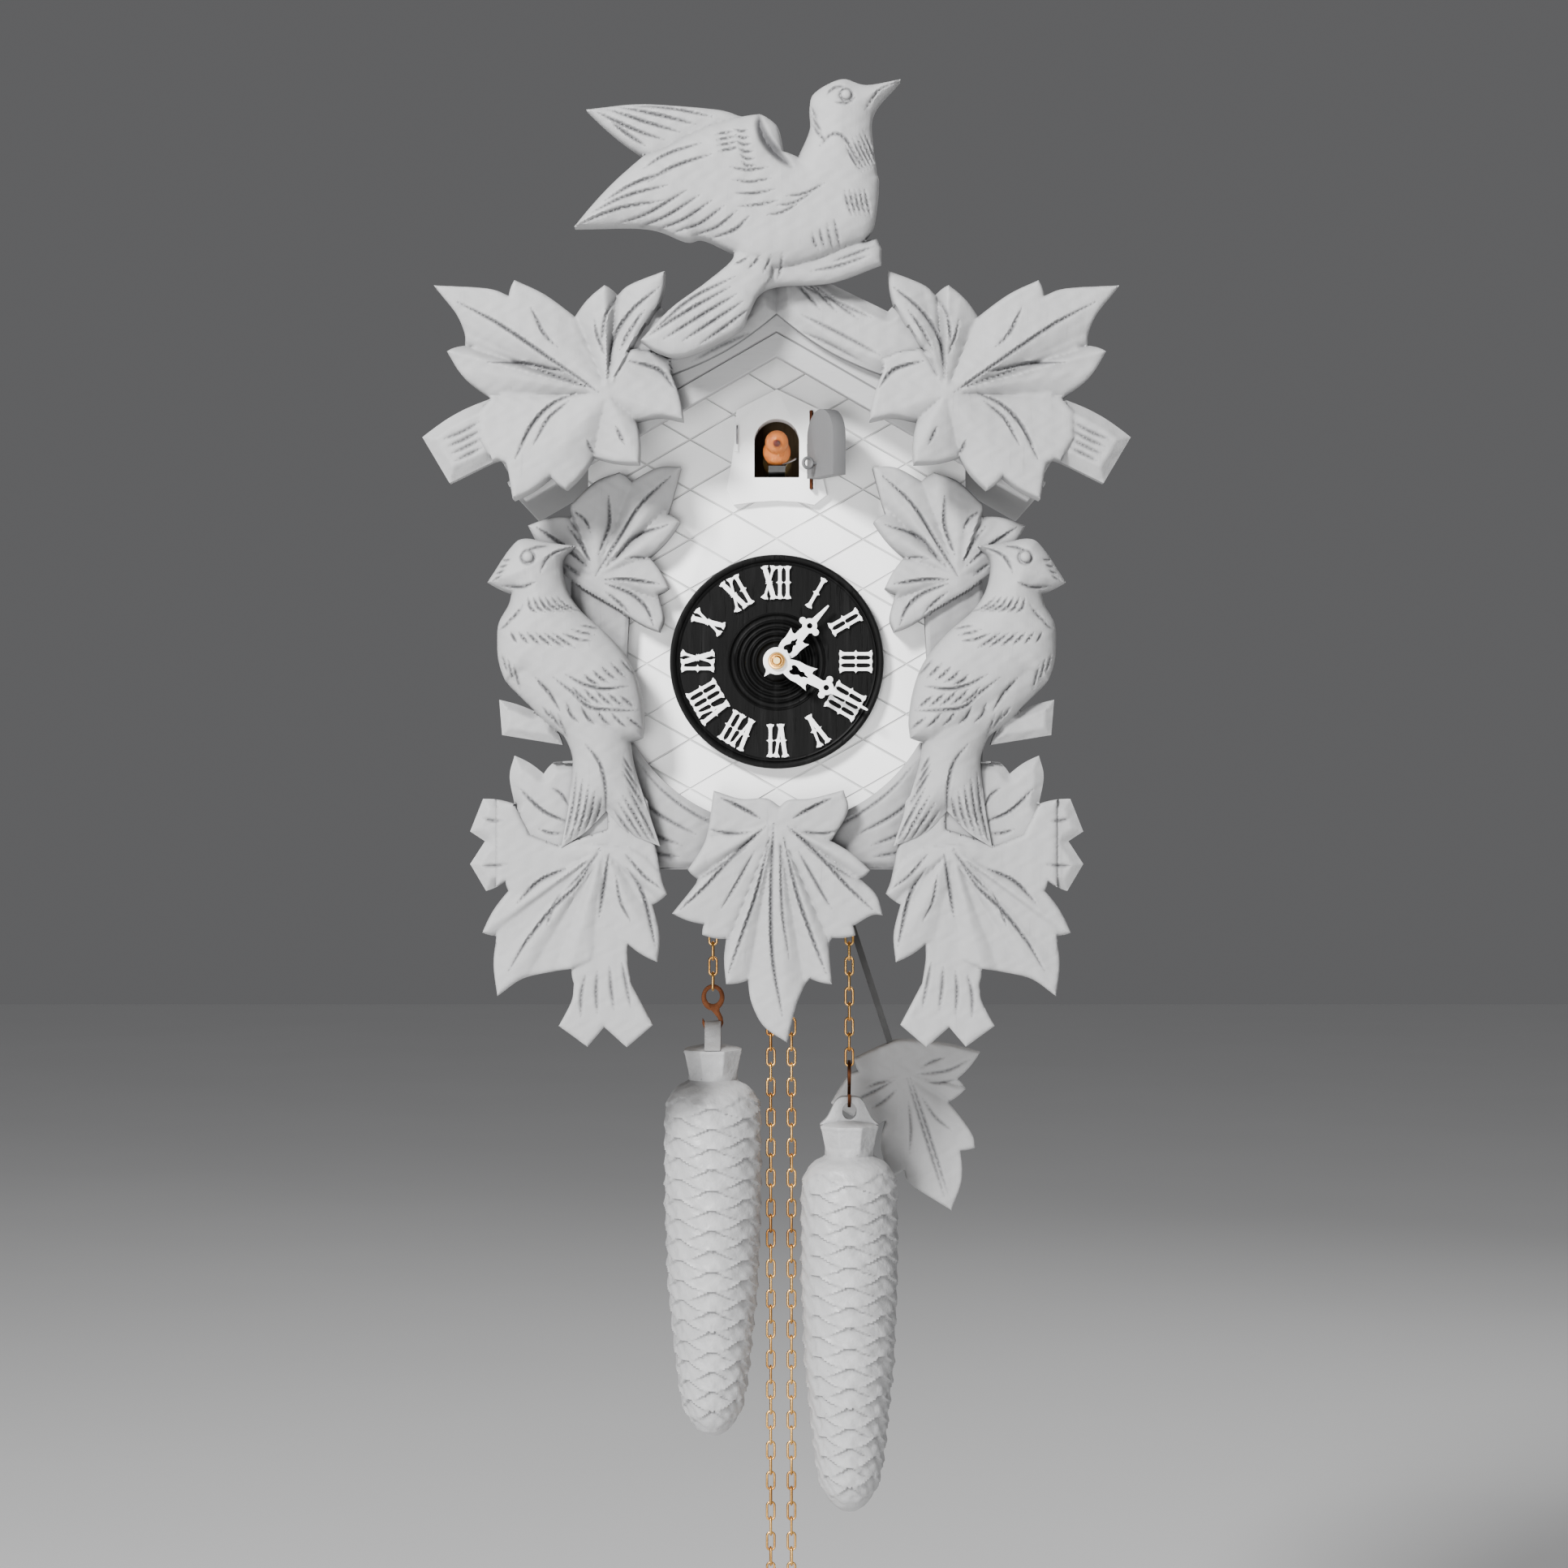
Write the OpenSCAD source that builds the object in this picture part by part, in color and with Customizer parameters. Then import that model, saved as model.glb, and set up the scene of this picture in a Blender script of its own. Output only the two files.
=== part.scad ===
// Wall-hung cuckoo clock with carved leaves and birds, chain driven, with cone weights.
// Origin: centre of the wall hook bore on the back plane. X to the right, Y towards the wall, Z up.

/* [Case] */
// Width across the outsides of the two side walls
case_w = 136; // [112:1:168]
// Depth from the back edge of the walls to the face of the front panel
case_d = 90; // [76:1:110]
// Thickness of the wall, floor and roof boards
wall_t = 6; // [4:0.5:7]
// Thickness of the front panel
panel_t = 8; // [6:0.5:9]
// Bore of the hanger plate, for the hook on the wall
hook_bore = 7; // [5:0.5:9]

/* [Dial and hands] */
// Radius of the dial
dial_r = 38.4; // [32:0.2:44]
// Length of the minute hand from its hub
minute_len = 37; // [30:0.5:40]
// Length of the hour hand from its hub
hour_len = 27; // [20:0.5:30]

/* [Carving] */
// Thickness of each carved layer
layer_t = 10; // [8:0.5:12]
// Thickness of the crown carving
crown_t = 12; // [9:0.5:14]

/* [Chains and weights] */
// Pitch of the chain, from link to link
pitch = 5.64; // [5:0.02:6.2]
// Diameter of the link wire
link_wire = 0.9; // [0.7:0.05:1.1]
// Largest radius of a weight
weight_r = 18.6; // [15:0.2:21]
// Length of a weight below its cap
cone_len = 124; // [100:1:140]

/* [Pendulum] */
// Angle at which the pendulum stands in this model, to the right of plumb
swing_rest = 18; // [0:1:18]
// Diameter of the pendulum rod
rod_d = 2.4; // [1.6:0.2:3]

/* [Cuckoo] */
// Angle to which the cuckoo door stands open
door_open = 117; // [90:1:120]
// Radius of the arch over the cuckoo opening
arch_r = 8.1; // [7:0.1:9]

/* [Hidden] */
$fn = 48;

grey = [0.72, 0.72, 0.72];
white = [0.93, 0.93, 0.93];
black = [0.1, 0.1, 0.1];
brass = [0.8, 0.65, 0.35];
wood = [0.75, 0.6, 0.42];
copper = [0.6, 0.35, 0.22];

fit = 0.05;                     // radial clearance of a running fit
dial_z = -80;                   // height of the dial axis below the wall hook
carve = case_w / 136;           // the carvings grow with the width of the case
half_w = case_w / 2;
inner_w = half_w - wall_t;
roof_tilt = 30;                 // pitch of the roof
fascia_apex = 106.6 * carve;    // lower edge of the fascia at the middle
roof_apex = fascia_apex + 4.6;  // underside of the roof boards at the middle
eave = 88.5 * carve;            // half width across the lower corners of the fascia
floor_top = -57 * carve;
floor_bottom = floor_top - wall_t;
panel_y = -case_d;              // face of the front panel
panel_back = panel_y + panel_t;
frame_t = 8;                    // side carvings and bottom rail
leaf_back = panel_y - frame_t;
bird_back = leaf_back - layer_t;
roof_front = panel_y - 22;
fascia_t = 6;
crown_back = roof_front - fascia_t;
crown_front = crown_back - crown_t;

// movement, placed from the inside of the front panel
plate_t = 2;
plate_1 = panel_back + 6;       // front face of the front plate
plate_2 = plate_1 + 0.47 * case_d;      // front face of the back plate
plate_half = 38;
plate_top = 52;
plate_bottom = -50;
time_x = 16.15;                 // sprocket centres
strike_x = -13.1;
sprocket_z = -20;
sprocket_r = 12 * pitch / (2 * PI);     // pitch radius, twelve links to the turn
chain_y = plate_1 + 26;
arbor_r = 1.5;                  // great wheel arbors
thin_r = 1;                     // third wheel, anchor, hammer and fly arbors
escape_r = 0.7;                 // escape wheel arbor
centre_r = 1.2;                 // centre arbor, which carries the minute hand
third_x = 9.62;
third_z = 16.96;
escape_z = 30;
anchor_z = 45;
fly_x = -27.1;
fly_z = -3;
hammer_x = 26;
hammer_z = 5;

// pendulum
pivot_z = -10;
pendulum_y = plate_2 + 14;
crutch_ratio = 10 / 65;

// chain link and runs
link_l = pitch + 2 * link_wire + 0.06;
link_w = 4.1 * link_wire;
run_top = -30;                  // first link below each sprocket
left_load_links = 16;
right_load_links = 21;
free_links = 57;

// a board cut to an outline in the XZ plane about the dial axis, its back face at y_back
module board(y_back, thick) {
    translate([0, y_back, dial_z]) rotate([90, 0, 0]) linear_extrude(thick) children();
}

// a round bar along Y
module bar_y(x, z, r, y_front, y_back) {
    translate([x, y_back, dial_z + z]) rotate([90, 0, 0]) cylinder(r = r, h = y_back - y_front);
}

// a toothed disc as an outline
function tooth_points(teeth, root, tip, phase) = [
    for (i = [0 : teeth - 1])
        for (q = [[root, -0.24], [tip, -0.1], [tip, 0.1], [root, 0.24]])
            let (a = phase + (i + q[1]) * 360 / teeth) [q[0] * cos(a), q[0] * sin(a)]];

module gear(x, z, teeth, pitch_r, phase, y_front, thick) {
    m = 2 * pitch_r / teeth;
    translate([0, 0, z]) board(y_front + thick, thick)
        translate([x, 0]) polygon(tooth_points(teeth, pitch_r - m, pitch_r + 0.6 * m, phase));
}

module mirrored() {
    mirror([1, 0, 0]) children();
}

// height of the underside of the roof boards at x
function roof_at(x) = roof_apex - abs(x) * tan(roof_tilt);

// ---- case ----

module side_wall() {
    board(0, case_d - panel_t) polygon([[-half_w, floor_bottom], [-inner_w, floor_bottom],
        [-inner_w, roof_at(inner_w)], [-half_w, roof_at(half_w)]]);
}

module case_left_wall() { color(wood) side_wall(); }

module case_right_wall() { color(wood) mirrored() side_wall(); }

module case_floor() {
    color(wood) difference() {
        board(0, case_d - panel_t) polygon([[-inner_w, floor_bottom], [inner_w, floor_bottom],
            [inner_w, floor_top], [-inner_w, floor_top]]);
        for (x = [strike_x, time_x])
            for (side = [-1, 1])
                translate([x + side * sprocket_r - 4.5, chain_y - 5, dial_z + floor_bottom - 1])
                    cube([9, 10, wall_t + 2]);
        translate([-21, pendulum_y - 6, dial_z + floor_bottom - 1]) cube([45, 12, wall_t + 2]);
        translate([-inner_w + 2.5, -3.5, dial_z + floor_top - 4]) cylinder(r = 1 + fit, h = 5);
    }
}

module arch_outline(half, low, spring) {
    translate([-half, low]) square([2 * half, spring - low]);
    translate([0, spring]) circle(half);
}

door_low = 66.3;
door_spring = 79.3;

module front_panel() {
    color(white) difference() {
        board(panel_back, panel_t) difference() {
            polygon([[-half_w, floor_bottom], [half_w, floor_bottom], [half_w, roof_at(half_w)],
                [0, roof_apex], [-half_w, roof_at(half_w)]]);
            arch_outline(arch_r, door_low, door_spring);
        }
        bar_y(0, 0, 5, panel_y - 1, panel_back + 1);
    }
}

plaque_points = [[0, 98], [-14.5, 90.5], [-16, 73], [-18, 62], [-15.5, 56.5], [-8, 57.5], [0, 58],
    [8, 57.5], [13.5, 56.5], [18, 60], [15, 73], [16.5, 90]];
plaque_t = 3;
hinge_x = 12.4;
hinge_y = panel_y - plaque_t - 2.9;
door_t = 5;

module door_plaque() {
    color(white) {
        board(panel_y, plaque_t) difference() {
            polygon(plaque_points);
            arch_outline(arch_r, door_low, door_spring);
        }
        board(panel_y - plaque_t, 1.2) translate([-15, 75.5]) square([1.1, 9.5]);
    }
}

module back_rail() {
    low = 63 * carve;
    color(wood) difference() {
        board(-2, 8) polygon([[-inner_w, low], [inner_w, low], [inner_w, roof_at(inner_w)],
            [0, roof_apex], [-inner_w, roof_at(inner_w)]]);
        translate([0, 1, 0]) rotate([90, 0, 0]) cylinder(r = hook_bore / 2 + 2, h = 13);
        translate([-inner_w + 2.5, -3.5, dial_z + low - 1]) cylinder(r = 1 + fit, h = 5);
        bar_y(25, low + 7, 1.5 + fit, -8, 1);
    }
}

module hanger_plate() {
    color(brass) difference() {
        translate([-14, -2, -12]) cube([28, 2, 24]);
        translate([0, 1, 0]) rotate([90, 0, 0]) cylinder(r = hook_bore / 2, h = 4);
    }
}

module back_door() {
    low = floor_top + 0.5;
    high = 63 * carve - 0.8;
    x0 = -inner_w + 0.7;
    color(wood) {
        board(-2, 3) polygon([[x0, low], [inner_w - 0.5, low], [inner_w - 0.5, high], [x0, high]]);
        translate([-inner_w + 2.5, -3.5, dial_z + floor_top - 3]) cylinder(r = 1, h = 5);
        translate([-inner_w + 2.5, -3.5, dial_z + high - 1]) cylinder(r = 1, h = 4.5);
    }
}

module turn_button() {
    z = 63 * carve + 7;
    color(brass) {
        board(-0.3, 1.4) translate([25 - 3, z - 13]) square([6, 17]);
        bar_y(25, z, 1.5, -7, -1);
    }
}

// one roof board, from the ridge to the eave, with square ends
module roof_board() {
    t = wall_t;
    s = sin(roof_tilt);
    c = cos(roof_tilt);
    ex = eave + 4;
    board(-0.3, -0.3 - roof_front) polygon([[0, roof_apex], [-ex, roof_at(ex)],
        [-ex - t * s, roof_at(ex) + t * c], [0, roof_apex + t / c]]);
}

module roof_left() { color(grey) roof_board(); }

module roof_right() { color(grey) mirrored() roof_board(); }

module fascia() {
    h = 16.5;
    s = sin(roof_tilt);
    c = cos(roof_tilt);
    low = fascia_apex - eave * tan(roof_tilt);
    color(grey) board(roof_front, fascia_t) polygon([[0, fascia_apex], [-eave, low],
        [-eave - h * s, low + h * c], [0, fascia_apex + h / c], [eave + h * s, low + h * c],
        [eave, low]]);
}

// ---- dial and hands ----

dial_t = 6;
hand_y = panel_y - dial_t - 3;

module dial() {
    color(black) difference() {
        translate([0, panel_y, dial_z]) rotate([90, 0, 0]) rotate_extrude($fn = 96)
            polygon([[0, 0], [dial_r, 0], [dial_r, 4.5], [dial_r - 1.2, dial_t], [dial_r - 3, dial_t],
                [dial_r - 3.4, 5.2], [0, 5.2]]);
        bar_y(0, 0, 4, panel_y - 10, panel_y + 1);
    }
}

// strokes of one roman numeral as [offset, lean] pairs, I upright and V and X leaning
numeral_bars = [
    [[0, 0]], [[-1.6, 0], [1.6, 0]], [[-3, 0], [0, 0], [3, 0]],
    [[-4.5, 0], [-1.5, 0], [1.5, 0], [4.5, 0]], [[-1.5, 12], [1.5, -12]],
    [[-3, 12], [0, -12], [3.6, 0]], [[-4.4, 12], [-1.4, -12], [1.8, 0], [4.6, 0]],
    [[-5, 12], [-2.4, -12], [0.4, 0], [2.8, 0], [5.2, 0]], [[-3.2, 0], [1.2, 16], [1.2, -16]],
    [[0, 16], [0, -16]], [[-1.4, 16], [-1.4, -16], [3.4, 0]],
    [[-2.6, 16], [-2.6, -16], [1.8, 0], [4.6, 0]]];

module numerals() {
    color(white) board(panel_y - 5.2, 1.2) scale(dial_r / 38.4) for (n = [0 : 11])
        rotate(-30 * (n + 1)) translate([0, 27.8]) for (b = numeral_bars[n])
            translate([b[0] * 0.9, 0]) rotate(b[1]) square([1.6, 11.6], center = true);
}

// a plain hand along +Z: hub, stem with a spear tip, ring on the stem, and a short tail
module hand(y_back, angle, len, hub, ring, tail, bore) {
    translate([0, 0, dial_z]) rotate([0, angle, 0]) translate([0, 0, -dial_z]) difference() {
        union() {
            bar_y(0, 0, hub, y_back - 1, y_back);
            bar_y(0, ring, 4, y_back - 1, y_back);
            board(y_back, 1) polygon([[-0.9, 0], [-0.9, len * 0.52], [-2.6, len * 0.56], [0, len],
                [2.6, len * 0.56], [0.9, len * 0.52], [0.9, 0], [0, -tail]]);
        }
        bar_y(0, ring, 2.4, y_back - 2, y_back + 1);
        bar_y(0, 0, bore, y_back - 9, y_back + 2);
    }
}

minute_angle = 118.4;
hour_angle = 43;

module minute_hand() {
    color(white) hand(hand_y - 3, minute_angle, minute_len, 4.6, 15, 9, centre_r);
}

module hour_hand() {
    color(white) hand(hand_y, hour_angle, hour_len, 4.9, 11, 8, 3.2);
}

module hand_nut() {
    color(brass) difference() {
        bar_y(0, 0, 3.1, hand_y - 6.2, hand_y - 4);
        bar_y(0, 0, centre_r, hand_y - 9, hand_y);
    }
}

// ---- cuckoo ----

// places a piece drawn on the closed door, measured from the hinge axis
module on_door() {
    translate([hinge_x, hinge_y, dial_z]) rotate([0, 0, door_open]) children();
}

module cuckoo_door() {
    w = hinge_x + 8.5;
    color(grey) difference() {
        on_door() {
            translate([0, door_t / 2, 0]) rotate([90, 0, 0]) linear_extrude(door_t) translate([-1 - w / 2, 0])
                arch_outline(w / 2 - 0.5, door_low - 1, door_spring);
            // knuckles round the hinge wire
            for (z = [67.5, 75]) {
                translate([0, 0, z]) cylinder(r = 1.6, h = 3);
                translate([-2.5, -1, z]) cube([2.5, 2, 3]);
            }
            translate([-8.5, door_t / 2 - 0.5, 70.2]) rotate([-90, 0, 0]) cylinder(r = 0.6, h = 2);
            translate([-8.5, door_t / 2 + 3.3, 70.2]) rotate([0, 90, 0])
                rotate_extrude() translate([1.8, 0]) circle(0.6);
        }
        translate([hinge_x, hinge_y, dial_z + 60]) cylinder(r = 0.7 + fit, h = 40);
    }
}

module door_hinge_wire() {
    color(copper) {
        for (z = [62.5, 89.5])
            translate([hinge_x, panel_y - plaque_t, dial_z + z]) rotate([90, 0, 0])
                cylinder(r = 0.7, h = panel_y - plaque_t - hinge_y);
        translate([hinge_x, hinge_y, dial_z + 62]) cylinder(r = 0.7, h = 28);
    }
}

bird_y = panel_y - 7;           // breast of the cuckoo when it is out

module cuckoo_bird() {
    color([0.85, 0.45, 0.15]) {
        translate([0, bird_y + 9, dial_z + 76]) sphere(5);
        translate([0, bird_y + 4, dial_z + 79]) sphere(4.2);
        translate([0, bird_y + 1.5, dial_z + 78]) rotate([90, 0, 0]) cylinder(r1 = 1.8, r2 = 0.3, h = 9);
        translate([-3.5, bird_y + 9, dial_z + 72.5]) cube([7, 16, 4]);
    }
}

module bird_lever() {
    color(black) {
        translate([-3, bird_y + 6, dial_z + 68.5]) cube([6, 32, 2.2]);
        translate([-1, bird_y + 13, dial_z + 70.7]) cube([2, 8, 1.8]);
    }
}

// ---- carvings ----

stile_points = [[-73.7, -74.5], [-55.4, -74.5], [-55.4, -29], [-53, 16], [-42, 10.5], [-40.5, 15.5],
    [-42.5, 24], [-38.7, 26.2], [-45.7, 37.3], [-34.7, 49.9], [-39, 52.7], [-37.4, 58], [-34.3, 69.5],
    [-42.6, 69.2], [-51.9, 64.5], [-56.2, 67.6], [-65, 64], [-73.5, 56], [-73.5, 51.8], [-80.9, 51.3],
    [-88.9, 48.4], [-82, 36], [-73.7, 29]];

module side_carving() {
    scale([carve, 1, 1]) board(panel_y, frame_t + 4) scale([1, carve]) polygon(stile_points);
}

module side_carving_left() { color(grey) side_carving(); }

module side_carving_right() { color(grey) mirrored() side_carving(); }

module bottom_rail() {
    color(grey) board(panel_y, frame_t) scale(carve) difference() {
        translate([-55.4, -74.5]) square([110.8, 45.5]);
        circle(59, $fn = 96);
    }
}

low_leaf_points = [[-93.4, -33.8], [-83, -40.3], [-79.3, -36.1], [-55.4, -38], [-46, -50], [-41.3, -75.6],
    [-38.9, -83], [-44.1, -86.8], [-41.7, -97.4], [-42.4, -107.2], [-52.9, -100.9], [-53.1, -106.5],
    [-51.9, -114.9], [-44.1, -129.7], [-53.3, -137.6], [-61.4, -130.4], [-67.3, -137.4], [-77.5, -130],
    [-73, -121.2], [-72.1, -114.9], [-73, -109.6], [-80, -110.7], [-90.5, -113.2], [-99.3, -119.3],
    [-100.7, -107.9], [-99.7, -98], [-104.6, -96.7], [-95.4, -81.9], [-96.5, -78.5], [-103.5, -82],
    [-109.2, -72.4], [-103.9, -64.3], [-109.2, -60.8], [-104.6, -49.2], [-93.4, -51], [-95.1, -41.2]];

module low_leaf() {
    board(leaf_back - 4, layer_t - 4) scale(carve) polygon(low_leaf_points);
}

module low_leaf_left() { color(grey) low_leaf(); }

module low_leaf_right() { color(grey) mirrored() low_leaf(); }

centre_leaf_points = [[-22.4, -46.3], [-12.7, -49.2], [-3.9, -49], [1.1, -51.9], [4.3, -49.6], [12.5, -49],
    [23.8, -46.1], [25.3, -53.5], [19.4, -64.2], [33.2, -74.6], [29.9, -77.7], [35.7, -83.7],
    [37.8, -90.6], [33.8, -90.6], [27.2, -94.4], [28, -97.8], [19.7, -98.7], [18.7, -101.9],
    [19.7, -115.1], [11.8, -113.2], [9.9, -115.8], [6.8, -123.3], [3.7, -135.9], [-4.5, -130.2],
    [-8.9, -122], [-10.3, -113.9], [-18, -115.1], [-18.7, -106.3], [-18, -99.1], [-26.5, -97.6],
    [-25.9, -93.8], [-37.2, -90], [-28.7, -79.3], [-28.7, -77.4], [-31.6, -74.4], [-25.2, -63.4]];

module centre_leaf() {
    color(grey) board(leaf_back, layer_t) scale(carve) polygon(centre_leaf_points);
}

side_bird_points = [[-71.5, 40.5], [-80, 41.5], [-89.5, 43], [-94.5, 39.5], [-102.5, 27.5], [-94, 23.5],
    [-95, 19.5], [-98.5, 13], [-99, 6], [-98.5, -0.5], [-96, -7.5], [-91.5, -12.5], [-83.5, -20.5],
    [-75.5, -27], [-73, -32.5], [-72.5, -38], [-74, -52.5], [-76.5, -66.5], [-68, -61], [-60.5, -53.5],
    [-53, -61], [-41.5, -66], [-45.5, -53.5], [-50, -40], [-52, -29], [-47.5, -27.5], [-47, -20.5],
    [-49, -9], [-53, 0.5], [-60.5, 9.5], [-69, 17], [-74, 24], [-76, 31.5], [-75.5, 36.5]];

// a side bird and its perch stub, relieved at the back where the tail lies over the low leaf
module side_bird() {
    thick = leaf_back - 4 - bird_back + layer_t;
    difference() {
        board(leaf_back - 4, thick) scale(carve) union() {
            polygon(side_bird_points);
            polygon([[-98.5, -14], [-97.5, -26.5], [-76, -30], [-80, -20]]);
        }
        board(leaf_back - 3, layer_t - 3) scale(carve) polygon(low_leaf_points);
    }
}

module side_bird_left() { color(grey) side_bird(); }

module side_bird_right() { color(grey) mirrored() side_bird(); }

crown_points = [[0, 121], [0, 140.5], [-39, 121.5], [-41, 123.5], [-39, 135], [-51, 130.5], [-55.5, 127],
    [-60, 130], [-70.5, 119.5], [-81, 127], [-91.5, 132], [-93.5, 126.5], [-101, 129], [-119.5, 130],
    [-112, 120.5], [-109, 113.5], [-109, 109.5], [-115, 107], [-109.5, 98.5], [-100, 91], [-124, 77.5],
    [-114.5, 61.5], [-99, 69], [-96, 69], [-94, 67], [-92, 55.5], [-79, 63.5], [-73.5, 59], [-64, 70.5],
    [-48, 68], [-49, 83], [-41, 84.5], [-32.5, 83], [-37, 99.5]];

module crown_half() {
    board(crown_back, crown_t) scale(carve) polygon(crown_points);
}

module crown_left() { color(grey) crown_half(); }

module crown_right() { color(grey) mirrored() crown_half(); }

crown_bird_points = [[43, 200], [31, 198], [22.5, 200], [13.5, 195.5], [11.5, 190.5], [11.5, 182.5],
    [7.5, 173], [2.5, 175], [1, 182], [-1, 185], [-6, 188], [-12, 187.6], [-19, 189.7], [-34, 191.2],
    [-49, 191.8], [-66, 190], [-46, 173.5], [-70, 149], [-45, 149], [-31.5, 144.5], [-25.5, 145],
    [-14.5, 140], [-16, 136.5], [-25, 129], [-36.5, 120.5], [-47, 109.5], [-40.5, 105.5],
    [-31.5, 104.5], [-13.5, 113], [-9.5, 119.5], [-6, 126], [1, 129], [19, 130.3], [36.4, 136.4],
    [36.4, 141.7], [34.7, 145.2], [30.5, 144.5], [34, 150], [35.5, 163.5], [34.5, 169.5], [34, 177],
    [33.5, 187.5]];

module crown_bird() {
    color(grey) board(crown_front, crown_t) scale(carve) polygon(crown_bird_points);
}

// ---- chains, hooks and weights ----

// one link, standing, its eye facing along Y
module link_loop() {
    r = (link_w - link_wire) / 2;
    s = (link_l - link_w) / 2;
    for (end = [0, 1]) mirror([0, 0, end]) translate([0, 0, s]) rotate([90, 0, 0])
        rotate_extrude(angle = 180) translate([r, 0]) circle(d = link_wire);
    for (side = [-1, 1]) translate([side * r, 0, -s]) cylinder(d = link_wire, h = 2 * s);
}

module run(x, links) {
    for (i = [0 : links - 1])
        translate([x, chain_y, dial_z + run_top - (i + 0.5) * pitch]) rotate([0, 0, 90 * (i % 2)]) link_loop();
}

load_left_x = strike_x - sprocket_r;
free_left_x = strike_x + sprocket_r;
load_right_x = time_x + sprocket_r;
free_right_x = time_x - sprocket_r;

module load_chain_left() { color(brass) run(load_left_x, left_load_links); }

module load_chain_right() { color(brass) run(load_right_x, right_load_links); }

module free_run(x) {
    color(brass) {
        run(x, free_links);
        // brass ring that the chain is pulled by, hanging edge on
        translate([x, chain_y, dial_z + run_top - free_links * pitch - 7.5]) rotate([0, 90, 0])
            rotate_extrude() translate([7, 0]) circle(0.8);
    }
}

module free_chain_left() { free_run(free_left_x); }

module free_chain_right() { free_run(free_right_x); }

// height of the hook's ring below a loaded run of so many links
function hook_top(links) = run_top - links * pitch - 2.4;

// flat S hook: a ring at the top and an open crook below, turned across the last link
module hook(x, links) {
    color(copper) translate([x, chain_y, dial_z + hook_top(links)]) rotate([90, 0, 90 * (links % 2)]) {
        translate([0, 0, -0.6]) linear_extrude(1.2) difference() {
            union() {
                circle(4);
                translate([-1.2, -7]) square([2.4, 4]);
                translate([0, -9.5]) difference() {
                    circle(4.2);
                    translate([-5, 0.4]) square([4, 5]);
                }
            }
            circle(2.5);
            translate([0, -9.5]) circle(2.2);
        }
    }
}

module hook_left() { hook(load_left_x, left_load_links); }

module hook_right() { hook(load_right_x, right_load_links); }

module weight(x, links) {
    eye = hook_top(links) - 9.5 - 4.7;
    r = weight_r;
    color(grey) translate([x, chain_y, dial_z + eye]) {
        rotate([0, 90, 90 * (links % 2)]) rotate_extrude() translate([3.7, 0]) circle(1.1);
        translate([0, 0, -4]) rotate_extrude() polygon([[0, -cone_len - 22], [r * 0.12, -cone_len - 22],
            [r * 0.42, -cone_len - 17], [r * 0.62, -cone_len - 11], [r * 0.74, -cone_len + 3],
            [r * 0.81, -cone_len + 15], [r * 0.9, -cone_len + 32], [r, -cone_len + 70], [r, -29],
            [r * 0.93, -22], [r * 0.62, -14.5], [r * 0.48, -13], [r * 0.62, -2.5], [r * 0.3, 0.4], [0, 0.4]]);
    }
}

module weight_left() { weight(load_left_x, left_load_links); }

module weight_right() { weight(load_right_x, right_load_links); }

// ---- pendulum ----

module swung() {
    translate([0, pendulum_y, dial_z + pivot_z]) rotate([0, -swing_rest, 0]) children();
}

pendulum_points = [[-2, -139.5], [-15, -141], [-15, -146], [-19.5, -147], [-28.5, -154.5], [-17.5, -166.5],
    [-11, -167.5], [-15.5, -175.5], [-16.5, -186.5], [-15, -188], [-10, -187.5], [-9, -193.5],
    [2.5, -207.5], [10, -197.5], [13, -187], [18.5, -187.5], [19, -182], [14.5, -168], [22, -165],
    [20.5, -160.5], [31.5, -153.5], [21, -147], [5.5, -140]];

module pendulum_leader() {
    color(wood) swung() difference() {
        union() {
            translate([-rod_d / 2, -1.2, -150]) cube([rod_d, 2.4, 147]);
            translate([0, 1.2, 0]) rotate([90, 0, 0]) cylinder(r = 3.4, h = 2.4);
        }
        translate([0, 3, 0]) rotate([90, 0, 0]) cylinder(r = 1 + fit, h = 6);
    }
}

module pendulum_leaf() {
    color(grey) swung() difference() {
        translate([0, 3, 0]) rotate([90, 0, 0]) linear_extrude(7) polygon(pendulum_points);
        translate([-rod_d / 2, -1.2, -150]) cube([rod_d, 2.4, 20]);
    }
}

// ---- movement ----

module plate_outline() {
    translate([-plate_half, plate_bottom]) square([2 * plate_half, plate_top - plate_bottom]);
}

module arbor_holes(y) {
    bar_y(time_x, sprocket_z, arbor_r + fit, y - 1, y + plate_t + 1);
    bar_y(strike_x, sprocket_z, arbor_r + fit, y - 1, y + plate_t + 1);
    bar_y(0, 0, centre_r + fit, y - 1, y + plate_t + 1);
    bar_y(0, escape_z, escape_r + fit, y - 1, y + plate_t + 1);
    for (at = [[third_x, third_z], [0, anchor_z], [fly_x, fly_z], [hammer_x, hammer_z]])
        bar_y(at[0], at[1], thin_r + fit, y - 1, y + plate_t + 1);
}

module movement_front_plate() {
    color(brass) difference() {
        board(plate_1 + plate_t, plate_t) plate_outline();
        arbor_holes(plate_1);
    }
}

module movement_back_plate() {
    color(brass) {
        difference() {
            board(plate_2 + plate_t, plate_t) plate_outline();
            arbor_holes(plate_2);
        }
        // stud that the pendulum hangs on
        bar_y(0, pivot_z, 1, plate_2 + plate_t - 0.5, pendulum_y + 3);
    }
}

module plate_pillars() {
    color(brass) for (x = [-34, 34]) for (z = [-46, 48])
        bar_y(x, z, 2.5, plate_1 + plate_t, plate_2);
    // side straps that carry the movement on the walls
    color(brass) for (side = [-1, 1]) for (z = [-46, 48])
        translate([side * (inner_w + plate_half) / 2 - (inner_w - plate_half) / 2,
            plate_1, dial_z + z - 4]) cube([inner_w - plate_half, 2, 8]);
}

wheel_phase = atan2(-sprocket_z, -time_x);      // from the time great wheel to the centre arbor

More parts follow.
